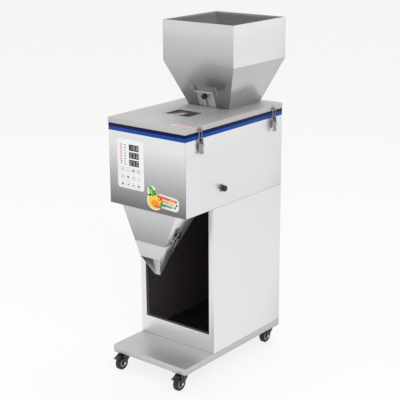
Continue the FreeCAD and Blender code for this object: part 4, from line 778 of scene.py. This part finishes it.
@dataclass
class ControlPanel:
    """Fascia, keypad film with its print and keys, displays with lit digits, sticker and board parts."""

    palette: Palette
    key_rows: tuple[float, ...] = (0.1225, 0.0985, 0.0735)
    key_columns: tuple[float, ...] = (-0.102, -0.0785, -0.055, -0.0335)
    ink: float = 0.05 * MM

    def build(self) -> None:
        """Make every piece."""
        softened("front_fascia", self.palette["fascia_sheet"], 0.35 * MM)
        softened("keypad_film", self.palette["film_white"], 0.25 * MM)
        self.low, self.high = spot("keypad_film")
        self.base_z = spot("front_fascia")[0].z
        self.face = self.low.y
        self.modules()
        self.keys()
        self.columns()
        self.sticker()
        self.board()

    def flat(self, bm: bmesh.types.BMesh, x: Sequence[float], z: Sequence[float], corner: float = 0.0,
             thick: float | None = None, face: float | None = None) -> None:
        """Add a thin printed tile on the panel's face.

        Args:
            bm: Mesh to add to.
            x: Left and right.
            z: Bottom and top.
            corner: Rounding of the tile's corners.
            thick: Height of the tile; the ink's where none is given.
            face: Y of the surface; the film's where none is given.
        """
        front = (self.face if face is None else face)
        height = self.ink if thick is None else thick
        own = bmesh.new()
        centre = ((x[0] + x[1]) / 2, front - height / 2 + 0.02 * MM, (z[0] + z[1]) / 2)
        size = (abs(x[1] - x[0]), height, abs(z[1] - z[0]), 1.0)
        bmesh.ops.create_cube(own, size=1.0, matrix=Matrix.Translation(centre) @ Matrix.Diagonal(size))
        if corner:
            edges = [e for e in own.edges if abs(e.verts[0].co.y - e.verts[1].co.y) > height / 2]
            bmesh.ops.bevel(own, geom=edges, offset=corner, segments=5, profile=0.5, affect="EDGES", material=-1)
        absorb(bm, own)

    def modules(self) -> None:
        """Black display glass with a bezel step and three lit seven-segment digits each."""
        softened("display_modules", self.palette["display_black"], 0.2 * MM)
        low, high = spot("display_modules")
        count, pitch = 3, 25 * MM
        height = high.z - low.z - (count - 1) * pitch
        front = low.y
        lit, dim, frames = bmesh.new(), bmesh.new(), bmesh.new()
        shown = ("188", "036", "250")
        for i in range(count):
            top = high.z - i * pitch
            self.bezel(frames, (low.x, high.x), (top - height, top), front)
            for k, digit in enumerate(shown[i]):
                centre = Vector((low.x + (high.x - low.x) * (k + 0.5) / 3, front, top - height / 2))
                self.digit(lit, dim, centre, digit, height * 0.62)
        piece("display_digits_lit", lit, self.palette["digit_lit"], "frame")
        piece("display_digits_dim", dim, self.palette["digit_dim"], "frame")
        piece("display_bezels", frames, self.palette["black_plastic"], "frame")

    def bezel(self, bm: bmesh.types.BMesh, x: Sequence[float], z: Sequence[float], front: float) -> None:
        """A narrow raised frame round one display."""
        wide, deep = 0.7 * MM, 0.25 * MM
        for a, b in (((x[0], z[0]), (x[1], z[0] + wide)), ((x[0], z[1] - wide), (x[1], z[1])),
                     ((x[0], z[0]), (x[0] + wide, z[1])), ((x[1] - wide, z[0]), (x[1], z[1]))):
            slab(bm, (a[0], front - deep, a[1]), (b[0], front + deep, b[1]))

    def digit(self, lit: bmesh.types.BMesh, dim: bmesh.types.BMesh, centre: Vector, value: str,
              height: float) -> None:
        """Seven bars of one digit, each in the lit or the dim mesh."""
        patterns = {"0": "abcdef", "1": "bc", "2": "abdeg", "3": "abcdg", "5": "acdfg", "6": "acdefg",
                    "8": "abcdefg"}
        h, w, t = height / 2, height * 0.24, height * 0.085
        bars = {"a": ((-w, w), (h - t, h + t)), "g": ((-w, w), (-t, t)), "d": ((-w, w), (-h - t, -h + t)),
                "f": ((-w - t, -w + t), (t, h - t)), "b": ((w - t, w + t), (t, h - t)),
                "e": ((-w - t, -w + t), (-h + t, -t)), "c": ((w - t, w + t), (-h + t, -t))}
        for name, (x, z) in bars.items():
            self.flat(lit if name in patterns[value] else dim, [centre.x + v for v in x], [centre.z + v for v in z],
                      face=centre.y)

    def keys(self) -> None:
        """Three rows of raised round-cornered keys with generic marks."""
        domes, rings, marks, blue = bmesh.new(), bmesh.new(), bmesh.new(), bmesh.new()
        for row, level in enumerate(self.key_rows):
            z = self.base_z + level
            for column, x in enumerate(self.key_columns):
                tint = rings if row == 0 or (row + column) % 3 == 0 else blue
                self.flat(tint, (x - 8.6 * MM, x + 8.6 * MM), (z - 8.2 * MM, z + 8.2 * MM), 3.2 * MM)
                self.flat(domes, (x - 7.4 * MM, x + 7.4 * MM), (z - 7.0 * MM, z + 7.0 * MM), 2.8 * MM, 0.22 * MM)
                self.mark(marks, x, z, row, column)
        piece("key_borders_rose", rings, self.palette["ink_rose"], "frame")
        piece("key_borders_blue", blue, self.palette["ink_blue_pale"], "frame")
        piece("key_domes", domes, self.palette["key_white"], "frame")
        piece("key_marks", marks, self.palette["ink_dark"], "frame")

    def mark(self, bm: bmesh.types.BMesh, x: float, z: float, row: int, column: int) -> None:
        """A plus, minus, bar, square, arrow or ring, by the key's place."""
        face = self.face - 0.22 * MM
        kind = (row * 4 + column) % 6
        place = frame_at(Vector((x, face, z)), Vector((0, -1, 0)), Vector((0, 0, 1)))
        if kind in (0, 1):
            self.flat(bm, (x - 4.2 * MM, x + 4.2 * MM), (z - 0.7 * MM, z + 0.7 * MM), face=face)
        if kind == 0:
            self.flat(bm, (x - 0.7 * MM, x + 0.7 * MM), (z - 4.2 * MM, z + 4.2 * MM), face=face)
        if kind == 2:
            self.flat(bm, (x - 3.4 * MM, x + 3.4 * MM), (z - 3.4 * MM, z + 3.4 * MM), 0.6 * MM, face=face)
        if kind in (3, 4):
            own = bmesh.new()
            bmesh.ops.create_cone(own, cap_ends=True, segments=3, radius1=4.4 * MM,
                                  radius2=4.4 * MM, depth=self.ink,
                                  matrix=place @ Matrix.Rotation(math.radians(90 if kind == 3 else -90), 4, "Z"))
            absorb(bm, own)
        if kind == 5:
            own = bmesh.new()
            bmesh.ops.create_cone(own, cap_ends=True, segments=24, radius1=3.6 * MM, radius2=3.6 * MM,
                                  depth=self.ink, matrix=place)
            absorb(bm, own)

    def columns(self) -> None:
        """The row of rose bars and the pale label fields beside the displays."""
        rose, labels = bmesh.new(), bmesh.new()
        for i in range(9):
            z = self.base_z + (0.2035 - 0.0076 * i)
            self.flat(rose, (-0.1092, -0.1035), (z - 2.4 * MM, z + 2.4 * MM), 0.8 * MM)
        for i in range(8):
            z = self.base_z + (0.204 - 0.0091 * i)
            self.flat(labels, (-0.0945, -0.0855 + 0.002 * (i % 2)), (z - 1.5 * MM, z + 1.5 * MM), 0.4 * MM)
        piece("film_rose_bars", rose, self.palette["ink_rose_deep"], "frame")
        piece("film_label_fields", labels, self.palette["ink_grey"], "frame")

    def sticker(self) -> None:
        """A die-cut sticker: leaf, tumbling disks and stripes in a pale border."""
        face = spot("front_fascia")[0].y
        base = self.base_z
        left, bottom = 0.003, base + 0.009
        sheets: dict[str, bmesh.types.BMesh] = {}

        def add(own: bmesh.types.BMesh, ink: str, x: float, z: float, turn: float, level: int) -> None:
            """Turn a tile, lay it on its own thin level and add it to its ink."""
            place = frame_at(Vector((left + x * MM, face - (0.1 + 0.06 * level) * MM, bottom + z * MM)),
                             Vector((0, -1, 0)), Vector((0, 0, 1)))
            bmesh.ops.transform(own, matrix=place @ Matrix.Rotation(math.radians(turn), 4, "Z"), verts=own.verts)
            absorb(sheets.setdefault(ink, bmesh.new()), own)

        def disk(ink: str, x: float, z: float, wide: float, tall: float, turn: float, level: int) -> None:
            """Add an oval tile of one ink."""
            own = bmesh.new()
            bmesh.ops.create_cone(own, cap_ends=True, segments=28, radius1=1.0, radius2=1.0, depth=1.0,
                                  matrix=Matrix.Diagonal((wide / 2 * MM, tall / 2 * MM, 0.12 * MM, 1.0)))
            add(own, ink, x, z, turn, level)

        def bar(ink: str, x: float, z: float, wide: float, tall: float, turn: float, level: int,
                corner: float) -> None:
            """Add a round-cornered bar of one ink."""
            own = bmesh.new()
            bmesh.ops.create_cube(own, size=1.0, matrix=Matrix.Diagonal((wide * MM, tall * MM, 0.12 * MM, 1.0)))
            edges = [e for e in own.edges if abs(e.verts[0].co.z - e.verts[1].co.z) > 0.05 * MM]
            bmesh.ops.bevel(own, geom=edges, offset=corner * MM, segments=4, profile=0.5, affect="EDGES",
                            material=-1)
            add(own, ink, x, z, turn, level)

        bar("sticker_border", 84, 32, 92, 44, -4, 0, 14)
        disk("sticker_border", 30, 28, 66, 58, 0, 0)
        disk("sticker_border", 19, 58, 38, 40, 28, 0)
        disk("sticker_yellow", 30, 26, 56, 46, 0, 1)
        disk("sticker_orange", 33, 20, 36, 24, -8, 2)
        disk("sticker_green", 17, 60, 18, 34, 24, 2)
        disk("sticker_green", 28, 56, 12, 24, -32, 3)
        disk("sticker_lime", 15, 58, 6, 24, 24, 4)
        bar("sticker_red", 70, 45, 54, 9, -5, 2, 3)
        bar("sticker_rose", 104, 42, 26, 9, -5, 3, 3)
        bar("sticker_orange", 66, 34, 46, 7, -5, 3, 3)
        bar("sticker_yellow", 98, 31, 26, 8, -5, 4, 3)
        bar("sticker_blue", 86, 21, 34, 8, -5, 4, 3)
        bar("sticker_green", 64, 21, 24, 9, -5, 5, 3)
        bar("sticker_red", 44, 12, 30, 7, -5, 4, 3)
        for x, z in ((118, 41), (121, 30), (113, 21)):
            disk("ink_dark", x, z, 8, 8, 0, 6)
            disk("sticker_lime", x - 1.2, z + 1.2, 3, 3, 0, 7)
        for ink, bm in sheets.items():
            piece(f"fascia_{ink}", bm, self.palette[ink], "frame")

    def board(self) -> None:
        """The control board's skin with its capacitors and connectors."""
        softened("control_board", self.palette["board_green"], 0.15 * MM)
        low, high = spot("control_board")
        cans, plugs = bmesh.new(), bmesh.new()
        back = low.y + 11.6 * MM
        for i in range(5):
            place = frame_at(Vector((low.x + (18 + 13 * i) * MM, back, high.z - 22 * MM)), Vector((0, 1, 0)),
                             Vector((0, 0, 1)))
            r, h = (4.0, 11.0) if i % 2 else (3.0, 7.5)
            profile = [(0, 0), (r * MM, 0), (r * MM, (h - 0.5) * MM), ((r - 0.5) * MM, h * MM), (0, h * MM)]
            turned(cans, place, profile, 20)
        for i in range(3):
            x = low.x + (14 + 28 * i) * MM
            slab(plugs, (x, back, low.z + 6 * MM), (x + 18 * MM, back + 8 * MM, low.z + 13 * MM), 0.5 * MM)
        piece("board_capacitors", cans, self.palette["bright_steel"], "frame")
        piece("board_connectors", plugs, self.palette["key_white"], "frame")


@dataclass
class Cover:
    """Lid, blue frame, window with its painted shade and its rim, and the blank label field."""

    palette: Palette
    screw_inset: float = 3 * MM
    screw: float = 2.4 * MM
    label_start: float = 28 * MM
    label_end: float = 45 * MM
    label_border: float = 4.5 * MM
    pale_span: tuple[float, float] = (81 * MM, 154 * MM)
    red_span: tuple[float, float] = (85 * MM, 150 * MM)

    def build(self) -> None:
        """Make every piece."""
        softened("lid", self.palette["lid_sheet"], 0.5 * MM)
        softened("lid_seal", self.palette["seal_blue"], 0.4 * MM)
        softened("lid_window", self.palette["window_smoke"], 0.3 * MM)
        low, high = spot("lid_window")
        top = spot("lid")[1].z
        rim = bmesh.new()
        for side in (-1, 1):
            for y in (low.y + self.screw_inset, high.y - self.screw_inset):
                seat = (side * (high.x - self.screw_inset), y, top - 0.05 * MM)
                pan_head(rim, Matrix.Translation(seat), self.screw)
        piece("window_screws", rim, self.palette["bright_steel"], "frame", 50.0)
        front = spot("front_fascia")[0].y
        for name, x, ink, inset, rise in (("pale", self.pale_span, "film_white", 0.0, 0.12 * MM),
                                          ("red", self.red_span, "sticker_red", self.label_border, 0.18 * MM)):
            bm = bmesh.new()
            slab(bm, (x[0], front + self.label_start + inset, top - 0.02 * MM),
                 (x[1], front + self.label_end - inset, top + rise))
            piece(f"lid_label_{name}", bm, self.palette[ink], "frame")


@dataclass
class Hopper:
    """Welded hopper with bright seams, its slide gate and clamp knob."""

    palette: Palette
    bead: float = 0.7 * MM
    taper: float = 150.0 * MM
    foot_half: tuple[float, float] = (86 * MM, 87.5 * MM)
    sunk: float = 0.5 * MM

    def build(self) -> None:
        """Make every piece."""
        softened("hopper", self.palette["hopper_sheet"], 0.3 * MM)
        softened("hopper_gate", self.palette["lid_sheet"], 0.3 * MM)
        softened("gate_knob", self.palette["black_plastic"], 0.6 * MM)
        low, high = spot("hopper")
        base = spot("lid")[1].z
        inner_x, half_y = self.foot_half
        inner_y = ((high.y + low.y) / 2 - half_y, (high.y + low.y) / 2 + half_y)
        bm = bmesh.new()
        fold = base + self.taper
        for side in (-1, 1):
            for top_y, foot_y in ((low.y, inner_y[0]), (high.y, inner_y[1])):
                inward = self.sunk if top_y == low.y else -self.sunk
                a = Vector((side * (high.x - self.sunk), top_y + inward, fold))
                b = Vector((side * (inner_x - self.sunk), foot_y + inward, base + 1 * MM))
                middle = (a + b) / 2
                run = a - b
                place = Matrix.Translation(middle) @ run.to_track_quat("Z", "Y").to_matrix().to_4x4()
                bmesh.ops.create_cone(bm, cap_ends=True, segments=10, radius1=self.bead, radius2=self.bead,
                                      depth=run.length, matrix=place)
        piece("hopper_weld_beads", bm, self.palette["bright_steel"], "frame", 60.0)


@dataclass
class Discharge:
    """Fixed funnel and the spout clipped under it."""

    palette: Palette

    def build(self) -> None:
        """Make every piece."""
        softened("discharge_funnel", self.palette["funnel_sheet"], 0.3 * MM)
        softened("discharge_spout", self.palette["spout_sheet"], 0.3 * MM)


@dataclass
class Latches:
    """Six draw latches with soft pressed edges and rivets in their base plates."""

    palette: Palette

    def build(self) -> None:
        """Make every piece."""
        for node in frame["nodes"]:
            if "latch" in node:
                round_edges = not node.endswith("_bail")
                softened(node, self.palette["latch_steel"], 0.25 * MM if round_edges else 0.0)


@dataclass
class Casters:
    """Four casters: painted forks, grey-ringed wheels with hub caps, headed axles and brake pedals."""

    palette: Palette
    ring: tuple[tuple[float, float], ...] = ((9.0, 0.0), (9.0, 0.7), (9.6, 1.1), (13.6, 1.1), (14.6, 0.6),
                                             (14.6, 0.0), (9.0, 0.0))

    def build(self) -> None:
        """Make every piece."""
        softened("caster_plates", self.palette["black_paint"], 0.4 * MM)
        for node in frame["nodes"]:
            if not node.startswith("caster_") or node == "caster_plates":
                continue
            finish = "tyre_black" if node.endswith("wheel") else "black_paint"
            softened(node, self.palette["bright_steel" if node.endswith("axle") else finish], 0.35 * MM)
            if node.endswith("wheel"):
                self.hub(node)
            if node.endswith("pedal"):
                self.treads(node)

    def hub(self, node: str) -> None:
        """A pale ring on each face of the wheel, about its boss."""
        low, high = spot(node)
        centre = (low + high) / 2
        half = (high.x - low.x) / 2 - 3.05 * MM
        bm = bmesh.new()
        for side in (-1, 1):
            place = frame_at(centre + Vector((side * half, 0, 0)), Vector((side, 0, 0)), Vector((0, 0, 1)))
            turned(bm, place, [(r * MM, h * MM) for r, h in self.ring], 48)
        piece(f"{node}_ring", bm, self.palette["hub_grey"], body_of(node))

    def treads(self, node: str) -> None:
        """Raised bars across the pedal's pad."""
        low, high = spot(node)
        bm = bmesh.new()
        for i in range(4):
            y = low.y + (3.0 + 3.2 * i) * MM
            z = high.z - (6.6 - 1.35 * i) * MM
            slab(bm, (low.x + 7.5 * MM, y, z), (high.x - 7.5 * MM, y + 1.2 * MM, z + 0.9 * MM), 0.25 * MM)
        piece(f"{node}_bars", bm, self.palette["rubber_black"], body_of(node))


@dataclass
class Inside:
    """Feeder, weighing bucket, solenoid and the rear inlet."""

    palette: Palette

    def build(self) -> None:
        """Dress every inner node on a softened copy."""
        for finish, nodes in INNER.items():
            for node in nodes:
                softened(node, self.palette[finish], 0.3 * MM)


INNER = {
    "inner_sheet": ("feed_trough", "trough_carrier", "scale_bracket", "weigh_bucket", "bucket_door",
                    "leaf_springs"),
    "load_cell_alu": ("load_cell",),
    "black_plastic": ("lock_knob", "power_inlet", "power_rocker"),
    "rubber_black": ("rubber_mounts",),
    "cast_grey": ("feeder_base",),
    "coil_black": ("electromagnet", "door_solenoid"),
    "bright_steel": ("solenoid_plunger",),
}


# ------------------------------------------------------------------------------------ assembly
FINISHES = (
    # Brushed sheets: each tone pair paints the reflection and shade that face shows from top to bottom; side tones
    # paint lighter lit sides.
    BrushedSheet("side_sheet", "e6e7e8", "eaebec", 0.6, 0.1, Grain.ALONG_Z, 0.36),
    BrushedSheet("housing_sheet", "e8e9ea", "e4e5e6", 0.84, 0.6, Grain.ALONG_Y, 0.36),
    BrushedSheet("fascia_sheet", "e8eaea", "767879", 0.80, 0.6, Grain.ALONG_X, 0.32),
    BrushedSheet("lid_sheet", "c2c2c1", "c2c2c1", 1.0, 0.0, Grain.ALONG_X, 0.5, 0.6),
    BrushedSheet("tray_sheet", "cacbcc", "c0c1c2", 0.09, 0.06, Grain.ALONG_X, 0.46, 0.65),
    BrushedSheet("hopper_sheet", "d3d3d4", "8b8a89", 1.14, 0.9, Grain.ALONG_X, 0.3,
                 painted_side_tone="e9e9e9", painted_side_low_tone="c2c2c2", side_split=1.028),
    BrushedSheet("funnel_sheet", "d2d3d4", "9b9d9f", 0.6, 0.47, Grain.ALONG_Z, 0.3,
                 painted_side_tone="e6e6e6", painted_side_low_tone="e6e6e6"),
    BrushedSheet("spout_sheet", "d2d3d4", "c2c4c5", 0.46, 0.38, Grain.ALONG_X, 0.3,
                 painted_side_tone="e0e0e0", painted_side_low_tone="e0e0e0"),
    BrushedSheet("inner_sheet", "b4b6b8", "a8aaac", 1.0, 0.0, Grain.ALONG_X, 0.42),
    BrightSteel("bright_steel"),
    BrightSteel("latch_steel", "a89f9d", 0.2),
    Moulded("load_cell_alu", "b9bbbd", 0.35, 0.08),
    Moulded("black_plastic"),
    Moulded("black_paint", "0d0d0f", 0.38, 0.08),
    Moulded("tyre_black", "121214", 0.62, 0.3, 700.0),
    Moulded("rubber_black", "17171a", 0.75, 0.3, 700.0),
    Moulded("hub_grey", "8d8f92", 0.5, 0.15),
    Moulded("seam_dark", "2b2b2d", 0.6, 0.05),
    # painted shade of the cabinet's unlit inner walls and floor
    Moulded("cabinet_wall_shade", "4c4543", 0.6, 0.1, 500.0),
    Moulded("cabinet_floor_shade", "181616", 0.5, 0.1, 500.0),
    Moulded("key_white", "f0efec", 0.42, 0.05),
    ShadedSeal("seal_blue", 0.849),
    ShadedPane("window_smoke"),
    CastIron("cast_grey"),
    CastIron("coil_black", "1d1d20"),
    CircuitBoard("board_green"),
    Printed("film_white", "f2f2f0"),
    Printed("display_black", "151316", 0.12),
    Printed("digit_lit", "b9b4b8", 0.3),
    Printed("digit_dim", "3a363b", 0.3),
    Printed("ink_rose", "eab4c4"),
    Printed("ink_rose_deep", "d8506c"),
    Printed("ink_blue_pale", "b9d6ea"),
    Printed("ink_grey", "8f8c92"),
    Printed("ink_dark", "332f3a"),
    Printed("sticker_border", "f0eddc", 0.28),
    Printed("sticker_yellow", "f3cf2c", 0.28),
    Printed("sticker_orange", "ef9433", 0.28),
    Printed("sticker_green", "3d9b3a", 0.28),
    Printed("sticker_lime", "b5d95a", 0.28),
    Printed("sticker_red", "dc5a48", 0.28),
    Printed("sticker_rose", "ec8f93", 0.28),
    Printed("sticker_blue", "5a9fd0", 0.28),
)


def main() -> None:
    """Build the filler and its studio in order."""
    logging.basicConfig(level=logging.INFO, format="%(message)s")
    palette = Palette(FINISHES)
    for part in (Enclosure(palette), ControlPanel(palette), Cover(palette), Hopper(palette), Discharge(palette),
                 Latches(palette), Casters(palette), Inside(palette)):
        part.build()
        LOG.info("%s done", type(part).__name__)
    Studio().build()


if __name__ == "__main__":
    main()
